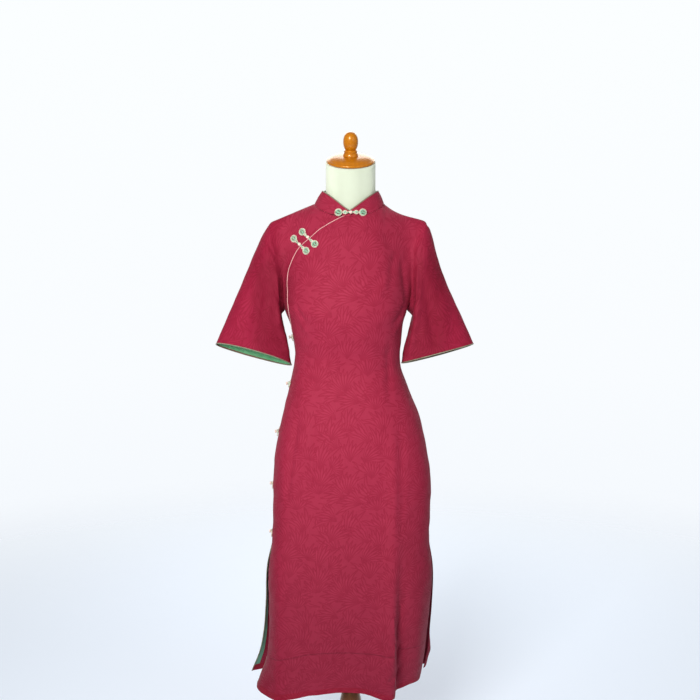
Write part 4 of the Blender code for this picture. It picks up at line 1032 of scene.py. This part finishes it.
class Tree:
    """A node tree, and short ways to add nodes to it."""

    def __init__(self, tree):
        self.nodes, self.links = tree.nodes, tree.links

    def feed(self, value, socket):
        """Links a value or an output to the socket, or sets the socket to a number."""
        value = getattr(value, "socket", value)
        if isinstance(value, bpy.types.NodeSocket):
            self.links.new(value, socket)
        else:
            socket.default_value = value

    def node(self, kind, settings=None, **inputs):
        made = self.nodes.new(kind)
        for key, value in (settings or {}).items():
            setattr(made, key, value)
        for key, value in inputs.items():
            self.feed(value, made.inputs[key.replace("_", " ")])
        return made

    def split(self, vector):
        """The three numbers of a vector."""
        made = self.node("ShaderNodeSeparateXYZ", Vector=vector)
        return [Value(self, part) for part in made.outputs]

    def flat(self):
        """Flat places on the cloth or cord, in metres: along and across."""
        return self.split(self.node("ShaderNodeUVMap", {"uv_map": "cut"}).outputs[0])[:2]

    def place(self):
        return self.node("ShaderNodeTexCoord").outputs["Object"]

    def vector(self, x, y, z=0.0):
        return self.node("ShaderNodeCombineXYZ", X=x, Y=y, Z=z).outputs[0]

    def noise(self, vector, scale, detail):
        made = self.node("ShaderNodeTexNoise", Vector=vector, Scale=scale, Detail=detail,
                         Roughness=0.5)
        return Value(self, made.outputs[0])

    def ramp(self, factor, *stops):
        """A colour ramp: stops are (position, display colour)."""
        made = self.node("ShaderNodeValToRGB", Fac=factor)
        elements = made.color_ramp.elements
        while len(elements) < len(stops):
            elements.new(0.5)
        for element, (position, colour) in zip(elements, stops):
            element.position, element.color = position, linear(*colour)
        return made.outputs[0]

    def mix(self, factor, first, second, blend="MIX"):
        made = self.node("ShaderNodeMix", {"data_type": "RGBA", "blend_type": blend})
        for value, index in ((factor, 0), (first, 6), (second, 7)):
            self.feed(value, made.inputs[index])
        return made.outputs[2]

    def blend(self, factor, dark_and_pale):
        return self.mix(factor, *(linear(*colour) for colour in dark_and_pale))

    def tint(self, colour, tint, share=1.0):
        """The colour times the tint, or a share of the way there."""
        tinted = self.mix(1.0, colour, self.vector(*tint), "MULTIPLY")
        return tinted if share == 1.0 else self.mix(share, colour, tinted)

    def bump(self, height, distance, before=None):
        made = self.node("ShaderNodeBump", Height=height, Distance=distance)
        if before is not None:
            self.links.new(before, made.inputs["Normal"])
        return made.outputs[0]


class Finish(Tree):
    """A material with one Principled shader."""

    def __init__(self, name, **settings):
        self.material = bpy.data.materials.new(name)
        self.material.use_nodes = True
        super().__init__(self.material.node_tree)
        self.shader = self.nodes["Principled BSDF"]
        for socket, value in settings.items():
            self.shader.inputs[socket.replace("_", " ")].default_value = value

    def finish(self, colour, normal, roughness):
        for name, value in (("Base Color", colour), ("Normal", normal), ("Roughness", roughness)):
            self.feed(value, self.shader.inputs[name])
        return self.material


def leaf_spray_group():
    """A node group for one spray: where its leaves lie, and how pale the cloth is on them."""
    group = bpy.data.node_groups.new("leaf_spray", "ShaderNodeTree")
    for in_out, names in (("INPUT", "Across Up Turn Leaves Length Spread Droop"),
                          ("OUTPUT", "Tone Leaf")):
        for name in names.split():
            group.interface.new_socket(name, in_out=in_out, socket_type="NodeSocketFloat")
    tree = Tree(group)
    across, up, turn, count, length, spread, droop = (
        Value(tree, socket) for socket in tree.node("NodeGroupInput").outputs[:7])
    across = across.math("WRAP", REPEAT_WIDE / 2, -REPEAT_WIDE / 2)
    up = up.math("WRAP", REPEAT_HIGH / 2, -REPEAT_HIGH / 2)
    reach = (across * across + up * up).math("SQRT")
    part = reach / length
    angle = droop.scaled(part, up.math("ARCTAN2", across) - turn).math("WRAP", pi, -pi)
    step = spread / count
    number = (angle / step).math("ROUND")
    aside = abs(angle - number * step) * reach
    part = part / (number * LEAF_LENGTHS[0]).sine().scaled(*LEAF_LENGTHS[1:])
    belly = (part.math("MINIMUM", 1.0).math("POWER", LEAF_BELLY) * pi).sine()
    wide = (belly * length * LEAF_WIDE).math("MINIMUM", step * reach * LEAF_CROWD)
    inside = (wide - aside) / LEAF_LINE
    leaf = abs(angle).math("LESS_THAN", spread / 2.0) * inside.math("GREATER_THAN", LEAF_EDGE)
    pale = (number * LEAF_PALES[0]).sine().scaled(*LEAF_PALES[1:])
    tree.node("NodeGroupOutput", Tone=pale * inside.math("MAXIMUM", 0.0).math("MINIMUM", 1.0),
              Leaf=leaf * part.math("LESS_THAN", 1.0))
    return group


def sprays():
    """Where the leaf sprays lie in a repeat: middle, turn, leaves, length, spread, droop."""
    draw = np.random.default_rng(SPRAY_SEED)
    repeat = np.array([REPEAT_WIDE, REPEAT_HIGH])
    cells = np.stack(np.meshgrid(*((np.arange(count) + 0.5) / count for count in SPRAY_CELLS),
                                 indexing="ij"), axis=-1) * repeat
    bare = np.ones(SPRAY_CELLS, bool)
    for number in range(SPRAY_COUNT):
        length, spread, count = SPRAYS[number % len(SPRAYS)]
        best_gain = -1
        for _ in range(SPRAY_TRIES):
            middle = draw.uniform(0.0, 1.0, 2) * repeat
            turn = pi / 2 + math.radians(SPRAY_LEAN) * draw.standard_normal()
            droop = draw.choice(SPRAY_DROOPS)
            away = (cells - middle + repeat / 2) % repeat - repeat / 2
            part = np.hypot(away[..., 0], away[..., 1]) / length
            angle = np.arctan2(away[..., 1], away[..., 0]) - turn + droop * part
            angle = (angle + pi) % (2.0 * pi) - pi
            under = (part < 1.0) & (np.abs(angle) < spread / 2.0)
            gain = np.count_nonzero(under & bare)
            if gain > best_gain:
                best_gain, best_under = gain, under
                row = (*middle.tolist(), turn, count, length, spread, float(droop))
        bare &= ~best_under
        yield row


def leaves(cloth, across, up):
    """How pale the woven leaves are at flat places, each spray over the ones before it."""
    group = leaf_spray_group()
    total = GROUND_TONE
    for spray_across, spray_up, turn, count, length, spread, droop in sprays():
        spray = cloth.node("ShaderNodeGroup", {"node_tree": group}, Across=across - spray_across,
                           Up=up - spray_up, Turn=turn, Leaves=count, Length=length,
                           Spread=spread, Droop=droop)
        tone, leaf = (Value(cloth, socket) for socket in spray.outputs)
        total = (tone - total).scaled(leaf, total)
    return total


def jacquard():
    """Dark red cloth with leaves woven in tone on tone, and painted shade on its sides, on its
    sleeves, low down and along the hem's crease.
    """
    cloth = Finish("red_jacquard", Specular_IOR_Level=0.14, Sheen_Weight=0.04,
                   Sheen_Roughness=0.5, Sheen_Tint=(1.0, 0.45, 0.5, 1.0))
    across, up = cloth.flat()
    x, _, z = cloth.split(cloth.place())
    aside = abs(x)
    shift = (cloth.noise(cloth.vector(across, up), *DRIFT_CLOUDS) - 0.5) * DRIFT
    leaf = leaves(cloth, across + shift, up + shift)
    slub, warp = (cloth.noise(cloth.vector(across * wide, up * high), 1.0, 2.0)
                  for wide, high in (SLUB_SCALE, WARP_SCALE))
    weave = up.sine(THREAD) * across.sine(THREAD)
    ground = cloth.blend(cloth.noise(cloth.place(), *RED_CLOUDS), (RED_DEEP, RED_GROUND))
    colour = cloth.mix(leaf * LEAF_TONE, ground, linear(*RED_LEAF))
    # Painted shade: the cloth grows darker towards the hem.
    grain = weave.scaled(WEAVE_TONE, (slub + warp).scaled(*SLUB_TONE)) * z.rise(*LOW_PAINTED_SHADE)
    crease = up - (across.rise(*HEM_CREASE_RISE) + HEM_CREASE_Z)
    crease = (crease * crease * (-1.0 / HEM_CREASE_WIDE**2)).math("EXPONENT")
    # Painted shade along the hem's crease: the cloth is darker on its line.
    grain = grain * crease.scaled(HEM_CREASE_PAINTED_SHADE, 1.0)
    colour = cloth.tint(colour, (grain, grain, grain))
    # Painted shade: deeper colour aside of the middle, on the body's sides and on the sleeves.
    colour = cloth.tint(colour, SIDE_PAINTED_SHADE_TINT, aside.rise(*SIDE_PAINTED_SHADE))
    # Painted shade: the sleeves are darker again towards the underarm.
    shade = [value.rise(*span)
             for value, spans in ((aside, SLEEVE_PAINTED_SHADE_ASIDE), (z, SLEEVE_PAINTED_SHADE_UP))
             for span in spans]
    colour = cloth.tint(colour, SLEEVE_PAINTED_SHADE_TINT, math.prod(shade[1:], start=shade[0]))
    # The last of the hem is tinted deeper in colour.
    band = up.math("LESS_THAN", HEM_Z + HEM_BAND) * z.math("LESS_THAN", HEM_LIFT_Z)
    colour = cloth.tint(colour, HEM_BAND_TINT, band)
    normal = cloth.bump(leaf.scaled(LEAF_HEIGHT, slub * SLUB_HEIGHT), LEAF_RELIEF)
    normal = cloth.bump(weave, WEAVE_RELIEF, normal)
    stitch = across.sine(HEM_STITCH).math("GREATER_THAN", HEM_STITCH_AT)
    normal = cloth.bump(crease * stitch.scaled(*HEM_STITCH_DEPTHS), HEM_CREASE_RELIEF, normal)
    return cloth.finish(colour, normal, leaf.scaled(*RED_ROUGH))


def satin(name, colours, thread):
    """Smooth cloth or bias binding: fine slanting threads, a little uneven in colour."""
    cloth = Finish(name, Specular_IOR_Level=0.45, Sheen_Weight=0.20, Sheen_Roughness=0.35)
    across, up = cloth.flat()
    slant = (across + up).sine(thread)
    cloud = cloth.noise(cloth.place(), *SATIN_CLOUDS)
    colour = cloth.blend(slant.scaled(SATIN_TONE, cloud), colours)
    return cloth.finish(colour, cloth.bump(slant, SATIN_RELIEF), cloud.scaled(*SATIN_ROUGH))


def twisted_cord(name, colours):
    """Two-ply satin cord: the plies wind round it."""
    yarn = Finish(name, Specular_IOR_Level=0.5, Sheen_Weight=0.25, Sheen_Roughness=0.3)
    along, around = yarn.flat()
    ply = around.scaled(PLY_SLANT, along).sine(CORD_TWIST)
    hair = around.scaled(HAIR_SLANT, along).sine(CORD_TWIST / HAIRS)
    cloud = yarn.noise(yarn.place(), *CORD_CLOUDS)
    colour = yarn.blend(ply.scaled(PLY_TONE, cloud), colours)
    normal = yarn.bump(hair, HAIR_RELIEF, yarn.bump(ply, PLY_RELIEF))
    return yarn.finish(colour, normal, cloud.scaled(*CORD_ROUGH))


def pearl():
    """Pale polished knot, a little warmer in places."""
    bead = Finish("pearl_knot", Specular_IOR_Level=0.6, Coat_Weight=0.4, Coat_Roughness=0.15)
    along, around = bead.flat()
    ply = around.scaled(PEARL_SLANT, along).sine(CORD_TWIST)
    cloud = bead.noise(bead.place(), *PEARL_CLOUDS)
    return bead.finish(bead.blend(cloud, PEARL), bead.bump(ply, PEARL_RELIEF),
                       cloud.scaled(*PEARL_ROUGH))


def jersey():
    """The form's pale stretch cover, finely knitted, with painted light that makes it paler aside
    of its front middle, against the shade on the neck's sides.
    """
    knit = Finish("form_jersey", Specular_IOR_Level=0.3, Sheen_Weight=0.35, Sheen_Roughness=0.5)
    x, y, z = knit.split(knit.place())
    loop = (y.math("ARCTAN2", x) * KNIT_WALES).sine() * z.sine(KNIT_COURSE)
    cloud = knit.noise(knit.place(), *KNIT_CLOUDS)
    # Painted light: paler aside of the front middle, to lift the shade on the neck's sides.
    grain = loop.scaled(*KNIT_TONE) * abs(x).rise(*NECK_SIDE_PAINTED_LIGHT)
    colour = knit.tint(knit.ramp(cloud, *zip(CREAM_AT, CREAM)), (grain, grain, grain))
    return knit.finish(colour, knit.bump(loop, KNIT_RELIEF), cloud.scaled(*KNIT_ROUGH))


def wood(name, colours):
    """Turned and varnished wood: growth rings with fine pores along the grain."""
    timber = Finish(name, Coat_Weight=0.4, Coat_Roughness=0.10, Coat_Tint=(1.0, 0.86, 0.60, 1.0),
                    Specular_IOR_Level=0.7, Specular_Tint=(1.0, 0.72, 0.30, 1.0))
    x, y, z = timber.split(timber.place())
    bend = timber.noise(timber.vector(x, y, z * GRAIN_LENGTH), *GRAIN_CLOUDS)
    by_x, by_y = GRAIN_RINGS
    ring = x.scaled(by_x, bend.scaled(GRAIN_BEND, y * by_y)).sine()
    fine = [value * scale for value, scale in zip((x, y, z), PORE_SCALE)]
    pore = timber.noise(timber.vector(*fine), 1.0, 2.0)
    shade = ring.scaled(RING_TONE, pore.scaled(*PORE_TONE))
    colour = timber.ramp(shade, *zip(WOOD_AT, colours))
    return timber.finish(colour, timber.bump(pore, PORE_RELIEF), pore.scaled(*PORE_ROUGH))


# ---------------------------------------------------------------- cloth and its bindings

def add_cloth(node, grid, uv, out, closed, thick, finish, slot="dress_cloth"):
    """A cut piece of cloth; gives its inner side."""
    stock = Stock()
    inner = wall(stock, grid, uv, out, closed, thick)
    made = stock.make(f"{node}_cloth", [finish], [node], slot)
    ring = np.concatenate([grid, grid[:, :1]], axis=1) if closed else grid
    across, down = ring[:-1, 1:] - ring[:-1, :-1], ring[1:, :-1] - ring[:-1, :-1]
    area = float(np.linalg.norm(np.cross(across, down), axis=-1).sum())
    wide, long = (float(uv[..., axis].max() - uv[..., axis].min()) for axis in (0, 1))
    return inner


def rim_path(outer, inner, line, inside, normals, raised):
    """Where a cord lies along an edge of the cloth: line and inside pick the edge's
    points and the next ones in the grid."""
    along = unit(np.gradient(outer[line], axis=0))
    away = outer[line] - outer[inside]
    away = across_to(normals[line], away - along * (away * along).sum(axis=-1, keepdims=True))
    return (outer[line] + inner[line]) / 2.0 + away * PIPING_R + normals[line] * raised


def add_dress():
    red = jacquard()
    pieces = {
        "front_panel": (*front_panel(), 1.0, False, CLOTH),
        "chest_panel": (*chest_panel(), 1.0, False, CLOTH),
        "back_panel": (*back_panel(), -1.0, False, CLOTH),
        "left_sleeve": (*sleeve("left"), OUT["left"], True, CLOTH),
        "right_sleeve": (*sleeve("right"), OUT["right"], True, CLOTH),
        "collar": (*collar(), 1.0, False, COLLAR_CLOTH),
    }
    inners, normals, linings = {}, {}, {}
    for node, piece in pieces.items():
        grid, _, out, closed, _ = piece
        inners[node] = add_cloth(node, *piece, red)
        normals[node] = out * grid_normals(grid, closed)
        linings[node] = inners[node] - normals[node] * LAY_GAP
    cuff = np.s_[-CUFF_FACING_ROWS:-1]
    slit = np.s_[SLIT_FACING_START:SLIT_ROWS + 2, 1:SLIT_FACING_COLUMNS]
    green = satin("green_facing", FACING, FACING_THREAD)
    # The slit's facing is a darker copy of the green facing: painted shade.
    slit_green_painted_shade = satin("slit_facing_green_painted_shade", SLIT_FACING_PAINTED_SHADE, FACING_THREAD)
    for facing, node, part, finish in (("left_cuff_facing", "left_sleeve", cuff, green),
                                       ("right_cuff_facing", "right_sleeve", cuff, green),
                                       ("slit_facing", "back_panel", slit, slit_green_painted_shade)):
        _, uv, out, closed, _ = pieces[node]
        add_cloth(facing, linings[node][part], uv[part], out, closed, FACING_WALL, finish,
                  "facing_cloth")
    # The opening's binding is painted pale pink: a painted highlight for its sheen.
    pale = satin("opening_binding_painted_highlight", OPENING_BINDING_PAINTED_HIGHLIGHT, BINDING_THREAD)
    olive = satin("olive_binding", OLIVE_BINDING, BINDING_THREAD)
    first = int(np.argmax(levels() > OPENING_LOW_Z)) + 1
    opening = np.s_[first:-1, 0], np.s_[first:-1, 2]
    rim = np.s_[-1], np.s_[-2]
    slit = np.s_[:SLIT_ROWS, 0], np.s_[:SLIT_ROWS, 2]
    for name, node, (line, inside), raised, radius, finish in (
            ("opening_piping", "front_panel", opening, OPENING_PIPING_LIFT, OPENING_PIPING_R, pale),
            ("collar_piping", "collar", rim, 0.0, PIPING_R, olive),
            ("left_cuff_piping", "left_sleeve", rim, 0.0, PIPING_R, olive),
            ("right_cuff_piping", "right_sleeve", rim, 0.0, PIPING_R, olive),
            ("slit_piping_front", "front_panel", slit, 0.0, SLIT_PIPING_R, olive),
            ("slit_piping_back", "back_panel", slit, 0.0, SLIT_PIPING_R, olive)):
        grid, _, _, closed, _ = pieces[node]
        stock = Stock()
        cord(stock, rim_path(grid, inners[node], line, inside, normals[node], raised),
             normals[node][line], radius, closed)
        stock.make(f"{name}_binding", [finish], [name], "piping")


# ---------------------------------------------------------------- frogs

def coil_strands(radius):
    """Flat strands of a coil: two rings, and a double spiral that crosses its middle."""
    turn = np.linspace(0.0, 2.0 * pi, RING_POINTS)
    round_turn = np.stack([np.cos(turn), np.sin(turn)], -1)
    ring_r = radius - FROG_CORD
    next_r = max(ring_r - COIL_STEP * FROG_CORD, LEAST_RING_R)
    strands = [(0, ring_r * round_turn), (1, next_r * round_turn)]
    inner_r = ring_r - 2.0 * COIL_STEP * FROG_CORD
    if inner_r > FROG_CORD:
        sweep = np.linspace(-1.0, 1.0, SPIRAL_POINTS)
        angle = np.abs(sweep) * (inner_r / SPIRAL_PITCH * 2.0 * pi)
        spiral = inner_r * sweep * np.stack([np.cos(angle), np.sin(angle)])
        strands.append((1, spiral.T))
    return strands


def frog_half(path, coils, lift):
    """Half of a frog: path gives the point, the way along and the way out at a distance."""
    reach = coils[-1][0] + coils[-1][1]
    knots = np.linspace(0.0, reach, PATH_POINTS)
    guides = [np.array(part) for part in zip(*[path(distance) for distance in knots])]
    stock = Stock()

    def lay(places, height, slot):
        at = np.clip(places[:, 0], 0.0, reach)
        spot, way, out = (np.stack([np.interp(at, knots, part[:, axis]) for axis in range(3)], -1)
                          for part in guides)
        side = unit(np.cross(out, way))
        droop = lift - places[:, 1:]**2 / (2.0 * BODY_BEND)
        out = unit(out)
        cord(stock, spot + side * places[:, 1:] + out * (droop + height), out, FROG_CORD, slot=slot)

    run = np.linspace(BUTTON_R * 0.7, coils[-1][0] - coils[-1][1] + FROG_CORD, RUN_POINTS)
    for slot, side in enumerate((-1.0, 1.0)):
        lay(np.stack([run, np.full_like(run, side * FROG_CORD)], -1), FROG_CORD, slot)
    for middle, radius in coils:
        for slot, strand in coil_strands(radius):
            crown = COIL_CROWN * (1.0 - np.linalg.norm(strand, axis=1) / radius)[:, None]
            lay(strand + np.array([middle, 0.0]), FROG_CORD * COIL_LAYERS[slot] + crown, slot)
    return stock


def ball_knot(middle, out):
    """A knotted ball button round the way out: a woven strand over a round core."""
    stock = Stock()
    turn = np.linspace(0.0, 2.0 * pi, KNOT_POINTS + 1)[:-1]
    side = unit(np.cross(out, [0.0, 0.3, 1.0]))
    other = np.cross(out, side)
    wide = KNOT_WIDE + KNOT_WAVE * np.cos(KNOT_LOBES * turn)
    flat = side * np.cos(2.0 * turn)[:, None] + other * np.sin(2.0 * turn)[:, None]
    flat = wide[:, None] * flat
    points = middle + flat + out * (KNOT_WAVE * KNOT_TALL * np.sin(KNOT_LOBES * turn))[:, None]
    cord(stock, points, flat, KNOT_CORD, closed=True)
    turn = turn[::9, None]
    around = side * np.cos(turn) + other * np.sin(turn)
    rings = [middle + KNOT_CORE_R * (out * math.cos(fall) + around * math.sin(fall))
             for fall in np.linspace(0.02, pi - 0.02, 12)]
    stock.add(rings, grid_quads(len(rings), len(turn), True)[0])
    return stock


def collar_place(distance):
    """Across the collar's ends at the centre front."""
    turn = math.asin(np.clip((distance - DRESS_X) / NECK_HALF, -1.0, 1.0))
    spot = np.array([distance, -NECK_DEPTH["front"] * math.cos(turn), COLLAR_FROG_Z])
    return spot, unit(np.array([math.sin(turn), -math.cos(turn), 0.0]))


def chest_place(x, z):
    """Across the opening, along a slanting line on the front."""
    def place(distance):
        spot_x = x + distance * math.cos(CHEST_FROG_TURN)
        spot_z = z + distance * math.sin(CHEST_FROG_TURN)
        return on_body("front", *place_on_front(spot_x, spot_z))
    return place


def side_place(level):
    """Round the left side seam, from the back (-) to the front (+)."""
    def place(distance):
        side = "front" if distance > 0.0 else "back"
        spot, out = on_body(side, level, abs(distance) / row_length(side, level))
        return spot, (np.array([-1.0, 0.0, 0.0]) if distance == 0.0 else out)
    return place


def frog_path(place, sign, step):
    """A path along the surface given by place(distance), on one side of the button."""
    def path(distance):
        spot, out = place(sign * distance)
        ahead, _ = place(sign * (distance + FROG_AHEAD))
        along = ahead - spot
        along = unit(along - out * along.dot(out))
        return spot + out * step * math.exp(-(distance / FROG_STEP_REACH)**2), along, out
    return path


def add_frogs():
    cords = [twisted_cord("cream_cord", CREAM_CORD), twisted_cord("mint_cord", MINT_CORD)]
    knot = pearl()
    frogs = [("collar_frog", collar_place, COLLAR_COILS, COLLAR_LIFTS)]
    frogs += [(f"chest_frog_{name}", chest_place(x, z), PLAIN_COILS, CHEST_LIFTS)
              for name, x, z in CHEST_FROGS]
    frogs += [(f"side_frog_{index}", side_place(level), PLAIN_COILS, SIDE_LIFTS)
              for index, level in enumerate(SIDE_FROGS, 1)]
    for name, place, coils, lifts in frogs:
        for part, sign, (rest, step) in (("a", -1.0, lifts[0]), ("b", 1.0, lifts[1])):
            half = frog_half(frog_path(place, sign, step), coils, rest)
            half.make(f"{name}_{part}_coils", cords, [f"{name}_{part}"], "frog_cord")
        low, high = (np.array(corner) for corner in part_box(f"{name}_button"))
        button = ball_knot((low + high) / 2.0, place(0.0)[1])
        button.make(f"{name}_knot", [knot], [f"{name}_button"], "button")


# ---------------------------------------------------------------- dress form and stand

def form_ring(z, half, front, back, square, tilt=0.0, round_neck=False):
    """One ring of the form, round the neck where it rises through the ring; the tilt
    raises the ring's back and lowers its front."""
    ring = []
    for turn in 2.0 * pi * np.arange(TURNED_SIDES) / TURNED_SIDES:
        cos, sin = math.cos(turn), math.sin(turn)
        x = half * math.copysign(abs(cos)**(2.0 / square), cos)
        y = (-front if sin < 0.0 else back) * abs(sin)**(2.0 / square)
        if round_neck:
            y = max(y, NECK_HALF_DEPTH * math.sqrt(max(0.0, 1.0 - (x / NECK_HALF_WIDTH)**2)))
        y = math.copysign(y, sin)
        ring.append((x, y, z + y * tilt))
    return ring


def add_form():
    """The padded form, in smooth rings that close at both ends."""
    rings = [form_ring(*row) for row in zip(*FORM.values())]
    seam_x, _, seam_z = top_edge("front", np.linspace(1.0, 1.0 - SHOULDER_PART, DENSE))
    for level in SHOULDER_LEVELS:
        half = float(np.interp(level + SHOULDER_DROP, seam_z, seam_x))
        rings.append(form_ring(level, half, -SHOULDER_DEPTH, SHOULDER_DEPTH, SHOULDER_SQUARE,
                               round_neck=True))
    for level in NECK_LEVELS:
        part = (level - NECK_LEVELS[0]) / (NECK_LEVELS[-1] - NECK_LEVELS[0])
        rings.append(form_ring(level, NECK_HALF_WIDTH, -NECK_HALF_DEPTH, NECK_HALF_DEPTH, 2.0,
                               math.tan(CAP_TILT) * part**2))
    rings = np.array(rings)
    ends = [np.broadcast_to(ring.mean(axis=0), ring.shape) for ring in (rings[0], rings[-1])]
    rings = np.concatenate([ends[:1], rings, ends[1:]])
    stock = Stock()
    stock.add(rings, grid_quads(len(rings), TURNED_SIDES, True)[0])
    stock.make("form_torso_cover", [jersey()], ["form_torso"], "form_cover")


def arc(middle_r, middle_z, radius, start, end, steps):
    """Points of an arc in a turned profile; angles in degrees from outwards."""
    turns = np.radians(np.linspace(start, end, steps))
    return [(middle_r + radius * math.cos(turn), middle_z + radius * math.sin(turn))
            for turn in turns]


def add_turned(name, node, profile, finish, slot, height=0.0, tilt=0.0):
    """A turned piece from its profile of (radius, height), stood at a height and tilted."""
    radius, level = np.array(profile, float).T[:, :, None]
    turn = 2.0 * pi * np.arange(TURNED_SIDES) / TURNED_SIDES
    x, y = radius * np.cos(turn), radius * np.sin(turn)
    y, z = y * math.cos(tilt) - level * math.sin(tilt), y * math.sin(tilt) + level * math.cos(tilt)
    stock = Stock()
    stock.add(np.stack([x, y, z + height], axis=-1), grid_quads(len(x), TURNED_SIDES, True)[0])
    stock.make(name, [finish], [node], slot, sharp=30.0)


def add_wood():
    """Neck cap and knob, leaning with the neck, and the pole and its turned foot."""
    orange, brown = wood("orange_wood", ORANGE_WOOD), wood("brown_wood", BROWN_WOOD)
    cap = (*CAP_TOP, *arc(CAP_R - CAP_EDGE_R, 0.0, CAP_EDGE_R, 62, -90, 14), (0.0, -CAP_EDGE_R))
    ball = [(KNOB_R * (r / KNOB_R)**KNOB_FULL, KNOB_Z + KNOB_STRETCH * (z - KNOB_Z))
            for r, z in arc(0.0, KNOB_Z, KNOB_R, 89, -50, 30)]
    knob = ((0.0, KNOB_TOP), *ball, *KNOB_NECK)
    add_turned("neck_cap_turned", "neck_cap", cap, orange, "varnished_wood", CAP_CENTRE_Z, CAP_TILT)
    add_turned("knob_turned", "finial", knob, orange, "varnished_wood", CAP_CENTRE_Z, CAP_TILT)
    add_turned("foot_turned", "stand_foot", FOOT, brown, "dark_wood")
    top, foot = FORM["z"][0] - LAY_GAP, FOOT_TOP_Z + LAY_GAP
    pole = ((0.0, top), (POLE_R - POLE_EDGE, top), (POLE_R, top - POLE_EDGE), (POLE_R, foot),
            (0.0, foot))
    add_turned("pole_turned", "pole", pole, brown, "dark_wood")


# ---------------------------------------------------------------- room, light and camera

def add_floor():
    """A pale floor that fades into the light round it."""
    bpy.ops.mesh.primitive_circle_add(vertices=96, radius=FLOOR_R, fill_type="NGON")
    floor = bpy.context.active_object
    floor.name = "floor"
    pale = Finish("floor_paint", Specular_IOR_Level=0.1)
    x, y, _ = pale.split(pale.place())
    grit = pale.noise(pale.place(), *GRIT_CLOUDS)
    pale.finish(linear(*FLOOR_COLOUR), pale.bump(grit, GRIT_RELIEF), grit.scaled(*GRIT_ROUGH))
    both = pale.node("ShaderNodeMixShader", Fac=(x * x + y * y).math("SQRT").rise(*FLOOR_FADE))
    pale.feed(pale.shader.outputs[0], both.inputs[1])
    pale.feed(pale.node("ShaderNodeBsdfTransparent").outputs[0], both.inputs[2])
    pale.feed(both.outputs[0], pale.nodes["Material Output"].inputs["Surface"])
    floor.data.materials.append(pale.material)


def add_sky():
    """The pale room, as the light from all round."""
    world = bpy.data.worlds.new("studio")
    bpy.context.scene.world = world
    world.use_nodes = True
    sky = Tree(world.node_tree)
    _, y, z = sky.split(sky.node("ShaderNodeTexCoord").outputs["Generated"])
    stops = [(0.5 + 0.5 * height, tone) for height, tone in ROOM_COLOURS]
    colour = sky.ramp(z.scaled(0.5, 0.5), *stops)
    start, end, low, high = ROOM_LIGHT
    sky.feed(colour, sky.nodes["Background"].inputs["Color"])
    sky.feed(y.rise(start, end).scaled(high - low, low), sky.nodes["Background"].inputs["Strength"])


def add_light(name, place, aim, size, power, spread, colour):
    lamp = bpy.data.lights.new(name, "AREA")
    lamp.size = size
    lamp.energy = power
    lamp.spread = math.radians(spread)
    lamp.color = colour
    made = link(name, lamp, place)
    made.rotation_euler = (Vector(aim) - Vector(place)).to_track_quat("-Z", "Y").to_euler()


def add_camera():
    eye = bpy.data.cameras.new("camera")
    eye.sensor_width = 36.0
    eye.lens = CAMERA_FOCUS * eye.sensor_width / PHOTO_SIDE
    made = link("camera", eye, CAMERA_PLACE)
    made.rotation_euler = (math.radians(90.0 - CAMERA_PITCH), 0.0, 0.0)
    bpy.context.scene.camera = made


bpy.context.scene.view_settings.view_transform = "Standard"
add_dress()
add_frogs()
add_form()
add_wood()
add_floor()
add_sky()
for light in LIGHTS:
    add_light(*light)
add_camera()
